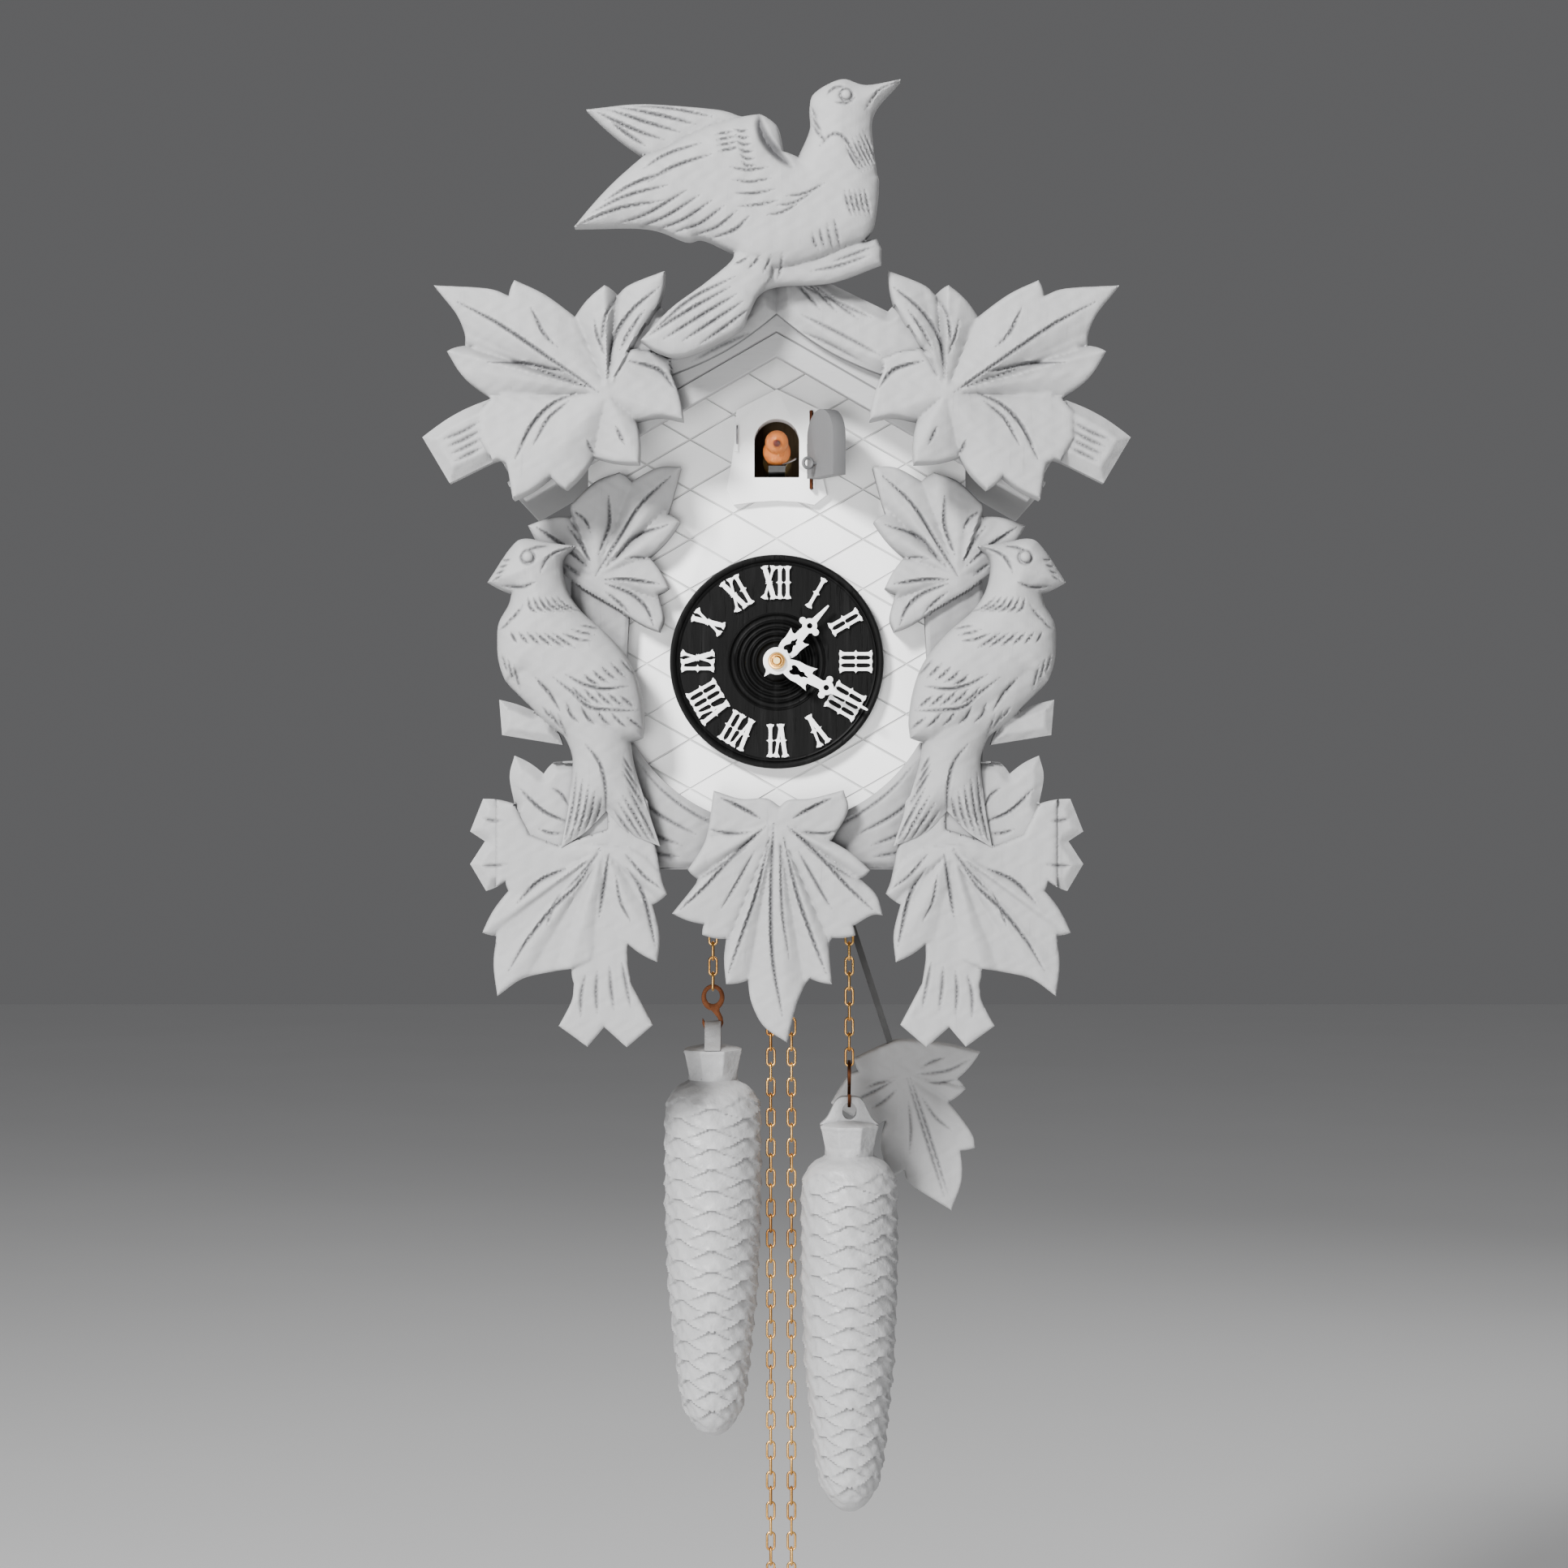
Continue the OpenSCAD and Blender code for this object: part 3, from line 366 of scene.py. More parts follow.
def carve(name, outline, back, layers, strokes=(), domes=(), grain=0.75):
    """Makes a carved board with its back at y = back. strokes are (path, depth, width), and domes are round
    eyes let into a socket, (centre, radius, height)."""
    rings = [outline]
    normal = np.roll(outline, -1, 0) - np.roll(outline, 1, 0)
    normal = np.stack([-normal[:, 1], normal[:, 0]], 1) / np.maximum(1e-9, np.hypot(*normal.T))[:, None]
    extra = [np.array([(x + r * np.cos(t),
                        z + r * np.sin(t)) for t in np.linspace(0, 2 * np.pi, 16, endpoint=False)])
             for (x, z), radius, _ in domes for r in (radius * 0.4, radius * 0.75, radius, radius * 1.35)]
    for inset in (0.45, 1.0, 1.8):
        ring = outline + normal * inset
        extra.append(ring[(away(ring, outline, True)[0] > inset * 0.93) & inside(ring, outline)])
    for layer in layers:
        if len(layer.edge) != len(outline) or not np.allclose(layer.edge, outline):
            side = np.roll(layer.edge, -1, 0) - np.roll(layer.edge, 1, 0)
            side = np.stack([side[:, 1], -side[:, 0]], 1) / np.maximum(1e-9, np.hypot(*side.T))[:, None]
            extra += [layer.edge + side * 0.2, layer.edge - side * 0.05, layer.edge - side * 0.5]
            extra += [layer.edge - side * 1.1]
    paths = [(stroke(p), depth, width) for p, depth, width in strokes]
    for path, depth, width in paths:
        along = np.gradient(path, axis=0)
        side = np.stack([-along[:, 1], along[:, 0]], 1) / np.maximum(1e-9, np.hypot(*along.T))[:, None]
        extra += [path, path + side * width * 0.5, path - side * width * 0.5]
        extra += [path + side * width * 1.05, path - side * width * 1.05]
    low, high = outline.min(0), outline.max(0)
    rows = np.arange(low[1], high[1], grain * 0.87)
    columns = np.arange(low[0], high[0], grain)
    grid = np.array([(x + grain * 0.5 * (j % 2), z) for j, z in enumerate(rows) for x in columns])
    grid = grid + rng.uniform(-0.06, 0.06, grid.shape)
    extra.append(grid[inside(grid, outline) & (away(grid, outline, True)[0] > 0.5)])
    inner = np.concatenate(extra)
    inner = inner[inside(inner, outline)]
    inner = inner[away(inner, outline, True)[0] > 0.3]
    cell = np.round(inner / 0.28).astype(int)
    inner = inner[np.unique(cell, axis=0, return_index=True)[1]]

    points = np.concatenate([*rings, inner])
    edges, start = [], 0
    for ring in rings:
        edges += [(start + i, start + (i + 1) % len(ring)) for i in range(len(ring))]
        start += len(ring)
    flat, _, faces, *_ = geometry.delaunay_2d_cdt([Vector(p) for p in points], edges,
                                                  [list(range(len(outline)))], 1, 1e-4)
    at = np.array([tuple(v) for v in flat])

    level = np.full(len(at), -1e9)
    # How near each spot is to the edge of the layer in front: the mask of the painted highlight on the proud edges.
    edge_highlight = np.zeros(len(at))
    for layer in layers:
        high, gap = layer.height(at)
        front = high > level
        level = np.where(front, high, level)
        edge_highlight = np.where(front, np.exp(-(gap / 0.9) ** 2), edge_highlight)
    cut = np.zeros(len(at))
    for path, depth, width in paths:
        near = np.all((at > path.min(0) - width) & (at < path.max(0) + width), 1)
        if near.any():
            far, along = away(at[near], path)
            bite = np.sin(np.pi * np.clip(along, 0.02, 0.98)) ** 0.5
            cut[near] = np.maximum(cut[near],
                                   depth * bite * np.clip(1 - far / (width * (0.35 + 0.65 * bite)), 0, 1))
    for (x, z), radius, height in domes:
        off = np.hypot(*(at - (x, z)).T) / radius
        cut = np.maximum(cut, 0.7 * np.exp(-((off - 1.2) / 0.25) ** 2))
    wave = 0.12 * np.sin(at[:, 0] * 0.9 + np.sin(at[:, 1] * 0.7) * 1.3) * np.sin(at[:, 1] * 0.8 + 1.1)
    level = np.maximum(level, 1.2) - cut + wave

    front_y = back - level * MM
    verts = [(x * MM, y, axis_z + z * MM) for (x, z), y in zip(at, front_y)]
    faces = [tuple(f) for f in faces]
    rim = {}
    for face in faces:
        for a, b in zip(face, face[1:] + face[:1]):
            rim[(a, b)] = rim.get((a, b), 0) + 1
    rim = [(a, b) for (a, b) in rim if (b, a) not in rim]
    twin = {}
    for a, b in rim:
        for i in (a, b):
            if i not in twin:
                twin[i] = len(verts)
                verts.append((at[i, 0] * MM, back, axis_z + at[i, 1] * MM))
    walls = [(b, a, twin[a], twin[b]) for a, b in rim]
    follow = dict(rim)
    order = [rim[0][0]]
    while follow[order[-1]] != order[0]:
        order.append(follow[order[-1]])
    base = [Vector(at[i]) for i in order]
    _, _, under, _, _, _ = geometry.delaunay_2d_cdt(base, [], [list(range(len(base)))], 1, 1e-4)
    unders = [tuple(twin[order[i]] for i in reversed(f)) for f in under if max(f) < len(order)]
    eyes = []
    for (x, z), radius, height in domes:
        base = float(level[np.argmin(np.hypot(*(at - (x, z)).T))])
        first = len(verts)
        for lift in np.linspace(-0.9, 1.45, 12):
            wide = radius * np.cos(min(lift, 1.45))
            verts += [((x + wide * np.cos(t)) * MM, back - (base + height * np.sin(lift)) * MM,
                       axis_z + (z + wide * np.sin(t)) * MM) for t in np.linspace(0, 2 * np.pi, 28, endpoint=False)]
        eyes += [(first + 28 * j + i, first + 28 * j + (i + 1) % 28, first + 28 * (j + 1) + (i + 1) % 28,
                  first + 28 * (j + 1) + i) for j in range(11) for i in range(28)]
        eyes += [tuple(range(first, first + 28))[::-1], tuple(range(first + 308, first + 336))]

    mesh = bpy.data.meshes.new(name)
    mesh.from_pydata(verts, [], faces + walls + unders + eyes)
    whole = bmesh.new()
    whole.from_mesh(mesh)
    bmesh.ops.recalc_face_normals(whole, faces=whole.faces)
    whole.to_mesh(mesh)
    whole.free()
    # Kept for the paint: the groove depth for painted shade in the gouges, and the edge mask for a painted highlight.
    for key, values in (("groove", np.clip(cut / 1.0, 0, 1)), ("edge", edge_highlight)):
        data = mesh.attributes.new(key, "FLOAT", "POINT")
        full = np.zeros(len(verts))
        full[:len(at)] = values
        data.data.foreach_set("value", full)
    mesh.polygons.foreach_set("use_smooth", [True] * len(mesh.polygons))
    mesh.set_sharp_from_angle(angle=np.radians(38))
    piece = bpy.data.objects.new(name, mesh)
    bpy.context.scene.collection.objects.link(piece)
    mesh.materials.append(grey_paint)
    return piece


def cuts(paths, depth, width):
    return [(path, depth, width) for path in paths]


def instead(outline, first, last, through):
    """An outline whose run from near one corner to near another goes through other points."""
    gap = [np.hypot(*(np.array(p) - first)) for p in outline]
    i = int(np.argmin(gap))
    turned = list(outline[i:]) + list(outline[:i])
    j = int(np.argmin([np.hypot(*(np.array(p) - last)) for p in turned]))
    return [turned[0], *through, *turned[j:]]


def piece_of(node):
    """The board's outline, back and thickness, in millimetres."""
    low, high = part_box(node)
    return loop_of(node), high.y, (high.y - low.y) * 1000


def mirrored(piece, name):
    """The same carving for the other side."""
    mesh = piece.data.copy()
    mesh.name = name
    mesh.transform(Matrix.Scale(-1, 4, (1, 0, 0)))
    mesh.flip_normals()
    other = bpy.data.objects.new(name, mesh)
    bpy.context.scene.collection.objects.link(other)
    return other


def pair(piece, name, left, right, blank=None):
    """Puts a left carving and its mirror image, or that of a second blank, in the place of two CAD boards."""
    other = mirrored(blank or piece, name)
    if blank:
        bpy.data.objects.remove(blank)
    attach(piece, "case")
    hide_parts(left)
    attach(other, "case")
    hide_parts(right)


def row(first, last, count):
    """A row of gouge strokes, blended from its first to its last."""
    first, last = np.array(first, float), np.array(last, float)
    return [first + (last - first) * i / (count - 1) for i in range(count)]


# ---- Crown: two half boards, each a maple leaf over a sawn branch that follows the roof ----
outline, back, thick = piece_of("crown_left")
sawn = [(0, 121), (0, 140.5), (-39, 121.5), (-124, 77.5), (-114.5, 61.5)]
outline = eased(outline, firm=sawn)
leaf = instead(outline, (-37, 99.5), (-41, 123.5), [(-37, 104.5), (-43, 107), (-51, 108), (-47, 114)])
leaf = instead(leaf, (-100, 91), (-99, 69), [(-104, 86), (-104, 77)])
layers = [Layer(outline, thick - 4, 4, 3, chamfer=True),
          Layer(leaf, thick, 2, 1.2, hub=(-59, 92),
                tips=[(-119, 130), (-115, 107), (-60, 130), (-39, 135), (-33, 84), (-48, 68), (-92, 56)],
                notches=[(-70, 119.5), (-56, 127), (-51, 108), (-102, 92), (-64, 70.5), (-49, 83),
                         (-110, 110)])]
veins = [[(-111, 124), (-99.5, 118), (-91.5, 113), (-78.5, 104), (-62, 92.5)],
         [(-100.5, 103), (-89, 103), (-79.5, 101), (-72, 99.5)],
         [(-41, 129), (-51, 120.5), (-57, 111), (-58.5, 101)],
         [(-51, 103.5), (-41, 100.5), (-36, 94.5)],
         [(-91, 69.5), (-85.5, 81), (-78.5, 88.5), (-70, 92.5)]]
gouges = [[(-56, 80.5), (-54.5, 77.5), (-53, 74.5)], [(-85.5, 122), (-81, 113), (-76.5, 108.5)],
          [(-56, 126), (-59.5, 119), (-61, 110)], [(-46, 121), (-51, 114), (-54.5, 107.5)],
          [(-84.5, 74.5), (-79.5, 83.5), (-72.5, 89.5)], [(-66, 76), (-65, 73.5), (-63.5, 71)],
          [(-60, 106), (-62.5, 112.5), (-63.5, 117.5)]]
branch = row([(-116, 76.5), (-109, 79.5), (-104, 82.5)], [(-112, 69), (-106, 72), (-103, 73.5)], 4)
branch += row([(-36, 106), (-23, 113), (-9, 120)], [(-29.5, 104), (-19.5, 109.5), (-8.5, 114.5)], 2)
branch += [[(-33, 119), (-20, 125), (-6, 132)]]
fan = [[(-4.5, 133.5), (-9, 129), (-15, 122)], [(-7.5, 134), (-14, 128.5), (-21, 121)],
       [(-12, 131.5), (-20, 125), (-28.5, 118.5)]]
lines = cuts(veins, 1.3, 0.85) + cuts(gouges, 1.0, 0.75) + cuts(branch, 0.8, 0.9)
crown = carve("crown_leaf_left", outline, back, layers, lines)
fanned = carve("crown_leaf_fanned", outline, back, layers, lines + cuts(fan, 0.9, 0.9))
pair(crown, "crown_leaf_right", "crown_left", "crown_right", fanned)

# ---- Crown bird: perched on the ridge, wings raised, tail laid over the left branch ----
# The far wing and the branch stand furthest back, then the tail, then the body with its near wing.
outline, back, thick = piece_of("crown_bird")
sawn = [(36.4, 136.4), (36.4, 141.7), (34.7, 145.2), (30.5, 144.5)]
outline = eased(outline, corner=50, bulge=0.03, firm=sawn)
body = instead(outline, (-6, 188), (-46, 173.5), [(-14, 186.7), (-23, 184.1), (-32, 180), (-38, 176.6)])
body = instead(body, (-14.5, 140), (30.5, 144.5), [(-12, 136.5), (-4, 134), (6, 135.5), (16, 138.5),
                                                   (24, 142)])
tail = instead(outline, (-6, 126), (-14.5, 140), [(-2, 131), (-1, 137), (-6, 143)])
layers = [Layer(outline, thick * 0.55, 4, 3), Layer(tail, thick * 0.82, 5, 2.4),
          Layer(body, thick, 12, 6)]
feathers = row([(-63, 189), (-49, 182.5), (-39, 179)], [(-49, 191), (-36, 190), (-22.5, 187)], 4)
feathers += row([(-68, 149.5), (-54, 154.5), (-39, 157)], [(-59, 157.5), (-49, 163), (-36, 167.5)], 3)
feathers += row([(-55.5, 149.5), (-44, 153), (-31, 160.5)], [(-22.5, 144.5), (-14.5, 147), (-9.5, 151.5)],
                6)
feathers += row([(-44, 163.5), (-36, 168.5), (-22.5, 173)], [(-45.5, 168.5), (-37.5, 173.5), (-26, 177)], 2)
feathers += row([(-45, 110.5), (-29.5, 120), (-16, 127.5)], [(-19.5, 107.5), (-13, 112.5), (-7.5, 117.5)],
                5)
feathers += [[(-42.5, 112.5), (-29.5, 123.5), (-14.5, 131)], [(-57, 185), (-51.5, 181), (-45.5, 177)]]
down = row([(-21, 180), (-18, 180.5), (-15, 181)], [(-20, 174), (-16.5, 174.5), (-13, 175.5)], 4)
down += row([(-14.5, 182), (-12, 181), (-10, 181.5)], [(-12, 170.5), (-10, 169), (-7, 169)], 6)
down += row([(-16, 168.5), (-9.5, 167.5), (-3, 168.5)], [(-13, 155), (-6.5, 155.5), (0.5, 157)], 4)
down += row([(16.5, 163), (10, 159.5), (3.5, 158.5)], [(7, 155.5), (2, 153), (-3, 152)], 3)
down += row([(30, 181.5), (32.5, 176), (35, 170)], [(24, 176), (26.5, 171), (29.5, 167)], 6)
down += row([(23.5, 160.5), (24.5, 156), (26, 152)], [(30.5, 161), (31.5, 156), (32.5, 152)], 5)
down += row([(12.5, 145.5), (13, 143), (14.5, 140.5)], [(20, 150.5), (21, 145.5), (22, 141.5)], 4)
down += row([(12.5, 183.5), (14.5, 180.5), (17, 177.5)], [(12, 190), (13, 187.5), (14, 185)], 3)
down += row([(2, 139), (1.5, 135), (0.5, 131)], [(-9.5, 138), (-12, 136.5), (-14.5, 135.5)], 4)
branch = [[(12, 133.5), (22, 135.5), (32, 139)], [(20, 137), (27, 139.5), (33.5, 142)]]
shoulder = [[(-6, 187), (-5.4, 182), (-2.5, 176.5), (5, 169)]]
face = [[(43, 199.5), (35.5, 195.5), (30.5, 188.5)], [(17.5, 194), (20, 196.3), (24, 196.8)],
        [(20.5, 191), (24, 190.6), (27, 192.5)], [(15, 176), (19.5, 180), (24, 178), (28.5, 170)]]
bird = carve("crown_bird_carving", outline, back, layers,
             cuts(feathers, 1.1, 0.8) + cuts(down, 0.8, 0.65) + cuts(branch, 0.8, 0.8)
             + cuts(shoulder, 2.2, 2.6) + cuts(face, 0.9, 0.7), domes=[((24, 193.6), 1.7, 1.2)])
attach(bird, "case")
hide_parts("crown_bird")

# ---- Stiles: the leaf at mid height on each side, with the sawn strip below it ----
outline, back, thick = piece_of("side_carving_left")
sawn = [(-73.7, -74.5), (-55.4, -74.5), (-55.4, -29), (-53, 16), (-73.7, 29)]
outline = eased(outline, firm=sawn)
leaf = instead(outline, (-73.7, 29), (-53, 16), [(-68, 25), (-61, 21)])
layers = [Layer(outline, thick - 4, 1.2, 0.8, chamfer=True),
          Layer(leaf, thick, 2, 1.2, hub=(-64.5, 30), fold=2.6,
                tips=[(-34, 69), (-35, 50), (-39, 26), (-42, 11), (-65, 64), (-73.5, 56), (-89, 48)],
                notches=[(-39, 55), (-45.7, 37.3), (-42.5, 22), (-52, 64.5), (-74, 52), (-80, 34)])]
veins = [[(-38, 66), (-48.5, 56), (-56.5, 43.5), (-64.5, 30.5)], [(-60, 59), (-60, 48.5), (-63.5, 38)],
         [(-39, 48.5), (-50.5, 44.5), (-58, 36)], [(-42, 27.5), (-53, 29), (-61, 29)],
         [(-44, 13), (-46.5, 19), (-52, 24), (-61, 27.5)], [(-85.5, 47.5), (-76, 41), (-68, 34)]]
gouges = [[(-45.5, 36.5), (-49.5, 37), (-54, 36.5)], [(-52.5, 17), (-56.5, 21), (-61, 24.5)],
          [(-73, 54), (-68.5, 50.5), (-66.5, 46)], [(-74.5, 48), (-70, 42), (-67, 36)],
          [(-76.5, 35), (-73.5, 33), (-70.5, 30.5)]]
stile = carve("mid_leaf_left", outline, back, layers, cuts(veins, 1.3, 0.8) + cuts(gouges, 0.9, 0.7))
pair(stile, "mid_leaf_right", "side_carving_left", "side_carving_right")

# ---- Low leaves: a large leaf hanging from its stalk, a small one above it, and branch stubs ----
outline, back, thick = piece_of("low_leaf_left")
sawn = [(-72, -115), (-77.5, -130), (-67.3, -137.4), (-61.4, -130.4), (-53.3, -137.6), (-44.1, -129.7),
        (-51.9, -115), (-103.5, -82), (-109.2, -72.4), (-103.9, -64.3), (-109.2, -60.8), (-104.6, -49.2),
        (-55.4, -38), (-46, -50)]
outline = eased(outline, firm=sawn)
large = instead(outline, (-41.3, -75.6), (-95.4, -81.9), [(-46, -70), (-52, -66.3), (-65, -65),
                                                          (-79, -66.7),
                                                         (-90, -70.7), (-95.2, -78)])
large = instead(large, (-73, -109.6), (-52.9, -100.9), [(-66, -107), (-62, -98.5)])
small = instead(outline, (-79.3, -36.1), (-93.4, -51), [(-60, -38), (-60, -60), (-78, -66), (-88, -62)])
small = eased([p for p in small if p[0] > -100], corner=25, bulge=0, step=0.8)
layers = [Layer(outline, thick * 0.55, 3.5, 2, chamfer=True),
          Layer(small, thick * 0.85, 2, 1, hub=(-68, -60), fold=1.5, droop=0.6,
                tips=[(-93.4, -34), (-79.3, -36), (-93, -51)], notches=[(-83, -40.3), (-95, -42)]),
          Layer(large, thick, 2, 1.2, hub=(-62, -67), fold=2.8, droop=1,
                tips=[(-104.6, -96.7), (-99.3, -119.3), (-73, -109.6), (-42.4, -107.2), (-39, -83)],
                notches=[(-95.4, -81.9), (-99.7, -99), (-84, -111.5), (-62, -98.5), (-43, -88)])]
veins = [[(-63, -67), (-70.5, -79.5), (-79.5, -88), (-89, -100), (-95, -110)],
         [(-75, -74), (-84.5, -78.5), (-92, -86)], [(-53, -74), (-47.5, -83), (-43, -101.5)],
         [(-59.5, -69), (-61.5, -81), (-63, -91)], [(-91, -46), (-83, -53.5), (-74, -57.5)]]
gouges = [[(-62.5, -67.5), (-69, -75.5), (-75, -81.5)], [(-77, -83), (-79.5, -88), (-81.5, -94)],
          [(-57, -76.5), (-55.5, -85.5), (-52, -92.5)], [(-53.5, -69), (-47, -76.5), (-41, -81)],
          [(-79.5, -45.5), (-76.5, -47.5), (-74, -51.5)], [(-84.5, -60), (-80, -61.5), (-75.5, -61.5)]]
branch = row([(-68, -112), (-69.5, -119), (-69.5, -126.5)], [(-55, -107.5), (-53.5, -115), (-52, -123)], 4)
branch += [[(-104.5, -56), (-101, -57), (-97.5, -57)], [(-104.5, -73), (-100.5, -73), (-96, -72.5)]]
leaves = carve("low_leaves_left", outline, back, layers,
               cuts(veins, 1.2, 0.8) + cuts(gouges, 0.9, 0.7) + cuts(branch, 0.8, 0.9))
pair(leaves, "low_leaves_right", "low_leaf_left", "low_leaf_right")

# ---- Rail across the foot of the case, behind the centre leaf: two bars that curve down from the sides ----
outline, back, thick = piece_of("bottom_rail")
lines = [[(-50, -36), (-40, -47), (-27, -56), (-16, -60)], [(-53, -46), (-42, -55), (-29, -62)],
         [(-53, -56), (-44, -62), (-34, -66)], [(-53, -66), (-44, -68.5), (-35, -70)]]
lines += [[(-x, z) for x, z in path] for path in lines]
rail = carve("rail_carving", outline, back, [Layer(outline, thick, 2.5, 1.8, chamfer=True)],
             cuts(lines, 0.9, 0.9))
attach(rail, "case")
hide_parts("bottom_rail")

# ---- Centre leaf under the dial ----
outline, back, thick = piece_of("centre_leaf")
outline = eased(outline)
layers = [Layer(outline, thick, 2, 1.3, hub=(0, -57), fold=1.8,
                tips=[(37.5, -90.6), (33, -75), (19.7, -115), (3.7, -135.9), (-18, -115), (-37, -90),
                      (-31.6, -74.4),
                      (-22.4, -46.3), (23.8, -46.1)],
                notches=[(19.4, -64.2), (-25.2, -63.4), (30, -78), (-29, -78), (19, -101), (-18.5, -103),
                         (10, -115), (-10, -114), (1, -52)])]
veins = [[(-1, -58), (-2, -80), (-1.5, -105), (2, -126)], [(-4, -59), (-14, -68), (-25, -80), (-34, -88.5)],
         [(4, -59), (14, -68), (25, -80), (34, -88.5)], [(-19.5, -49), (-13, -52), (-6, -56)],
         [(19.5, -49), (13, -52), (6, -56)], [(-2.5, -63), (-7, -82), (-12.5, -98), (-17, -111)],
         [(2.5, -63), (7, -82), (12.5, -98), (17.5, -111)]]
gouges = [[(-24, -60), (-17, -61.5), (-9, -61)], [(24, -60), (17, -61.5), (9, -61)],
          [(1.5, -66), (2, -88), (4.5, -106)],
          [(-8, -68), (-14, -79), (-19.5, -88)], [(8, -68), (14, -79), (19.5, -88)],
          [(-10, -66), (-20, -73), (-27.5, -77.5)], [(10, -66), (20, -73), (27.5, -77.5)]]
leaf = carve("centre_leaf_carving", outline, back, layers, cuts(veins, 1.3, 0.8) + cuts(gouges, 0.9, 0.75))
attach(leaf, "case")
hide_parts("centre_leaf")

# ---- Side birds: plump, heads turned outwards, wings and tails laid down over the low leaves ----
outline, back, thick = piece_of("side_bird_left")
sawn = [(-98.5, -14), (-97.5, -26.5), (-76, -30)]
outline = eased(outline, corner=50, bulge=0.03, firm=sawn)
body = instead(outline, (-96, -7.5), (-75.5, -27), [(-91.5, -12.5), (-83.5, -20.5)])
winged = instead(outline, (-96, -7.5), (-47, -28), [(-90, -7.5), (-82.5, -14.5), (-74, -21.5), (-64, -26.5),
                                                    (-55, -29)])
layers = [Layer(outline, thick * 0.45, 3, 2.2, chamfer=True),
          Layer(body, thick * 0.86, 11, 7, tilt=((-60, -20), (0, -0.13), 5.5)),
          Layer(winged, thick, 13, 8.5)]
down = row([(-100.5, 28), (-99, 28.5), (-97, 29.5)], [(-97, 35.5), (-95.5, 35), (-94, 35.5)], 4)
down += row([(-93, 15.5), (-95, 12.5), (-98, 10.5)], [(-89.5, 19), (-92, 15.5), (-95, 13)], 2)
down += row([(-87.5, 21.5), (-86.5, 18), (-84.5, 16.5)], [(-77, 22), (-74, 19), (-69, 17)], 6)
down += row([(-93.5, 9.5), (-92.5, 7.5), (-91.5, 6)], [(-78.5, 9), (-75, 6.5), (-71, 4)], 6)
down += row([(-75, 9), (-70, 7), (-65.5, 6.5)], [(-69, 12), (-66, 11.5), (-63, 11)], 3)
down += row([(-97, 2), (-96, -1.5), (-95, -4.5)], [(-92.5, -2), (-91.5, -6.5), (-90.5, -10.5)], 3)
down += row([(-82.5, -17), (-80.5, -19.5), (-78.5, -21.5)], [(-77, -19.5), (-75.5, -24), (-74, -27.5)], 3)
feathers = row([(-67.5, -5.5), (-65.5, -7.5), (-62.5, -9)], [(-55, 0), (-52.5, -3), (-50, -5.5)], 5)
feathers += row([(-71.5, -10), (-69, -13), (-65.5, -15.5)], [(-55, -13), (-52.5, -15), (-50, -17)], 5)
feathers += row([(-74, -15.5), (-72.5, -19.5), (-70, -22)], [(-52.5, -20.5), (-50, -22.5), (-47.5, -24.5)],
                5)
feathers += row([(-71, -40), (-72.5, -52.5), (-75.5, -65)], [(-62, -49), (-63.5, -55), (-65.5, -59)], 5)
feathers += row([(-52.5, -45.5), (-48, -54), (-42.5, -65)], [(-57.5, -53.5), (-53, -60), (-50, -63.5)], 4)
feathers += row([(-54, -34.5), (-52.5, -37.5), (-50.5, -40)], [(-54.5, -39.5), (-50, -46.5), (-47, -51.5)],
                3)
lines = [[(-78.5, -6.5), (-71.5, -12), (-65.5, -17), (-55.5, -18), (-49, -18)],
         [(-85, -6.5), (-80, -12), (-76.5, -18)],
         [(-74, -5.5), (-67.5, -9), (-60.5, -10.5), (-52.5, -9.5)],
         [(-67.5, -30), (-62.5, -36.5), (-60.5, -45.5), (-60.5, -53.5)],
         [(-71.5, 40.5), (-78.5, 37.5), (-81.5, 34.5), (-83, 30.5)],
         [(-88.5, 37.8), (-85, 39.5), (-80, 40.3)], [(-97, 26), (-90, 25.5), (-85, 27)]]
bird = carve("side_bird_carving_left", outline, back, layers,
             cuts(down, 0.9, 0.65) + cuts(feathers, 1.0, 0.7) + cuts(lines, 1.1, 0.8),
             domes=[((-87.6, 36), 1.9, 1.5)])
pair(bird, "side_bird_carving_right", "side_bird_left", "side_bird_right")


# ---- Case: sawn boards with their edges broken, white front and grey sides, roof and rail ----
def board_like(node, name, finish, radius=0.0005, body="case"):
    """A CAD board with its edges rounded over by sanding."""
    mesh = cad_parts[node].data.copy()
    whole = bmesh.new()
    whole.from_mesh(mesh)
    bmesh.ops.remove_doubles(whole, verts=whole.verts, dist=1e-5)
    bmesh.ops.dissolve_limit(whole, angle_limit=0.02, verts=whole.verts, edges=whole.edges)
    whole.to_mesh(mesh)
    whole.free()
    mesh.materials.clear()
    mesh.materials.append(finish)
    piece = bpy.data.objects.new(name, mesh)
    bpy.context.scene.collection.objects.link(piece)
    sanded = piece.modifiers.new("sanded", "BEVEL")
    sanded.width = radius
    sanded.segments = 3
    sanded.limit_method = "ANGLE"
    sanded.angle_limit = 0.6
    done = bpy.data.meshes.new_from_object(piece.evaluated_get(bpy.context.evaluated_depsgraph_get()))
    piece.modifiers.remove(sanded)
    piece.data = done
    done.polygons.foreach_set("use_smooth", [True] * len(done.polygons))
    done.set_sharp_from_angle(angle=0.5)
    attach(piece, body)
    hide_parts(node)
    return piece


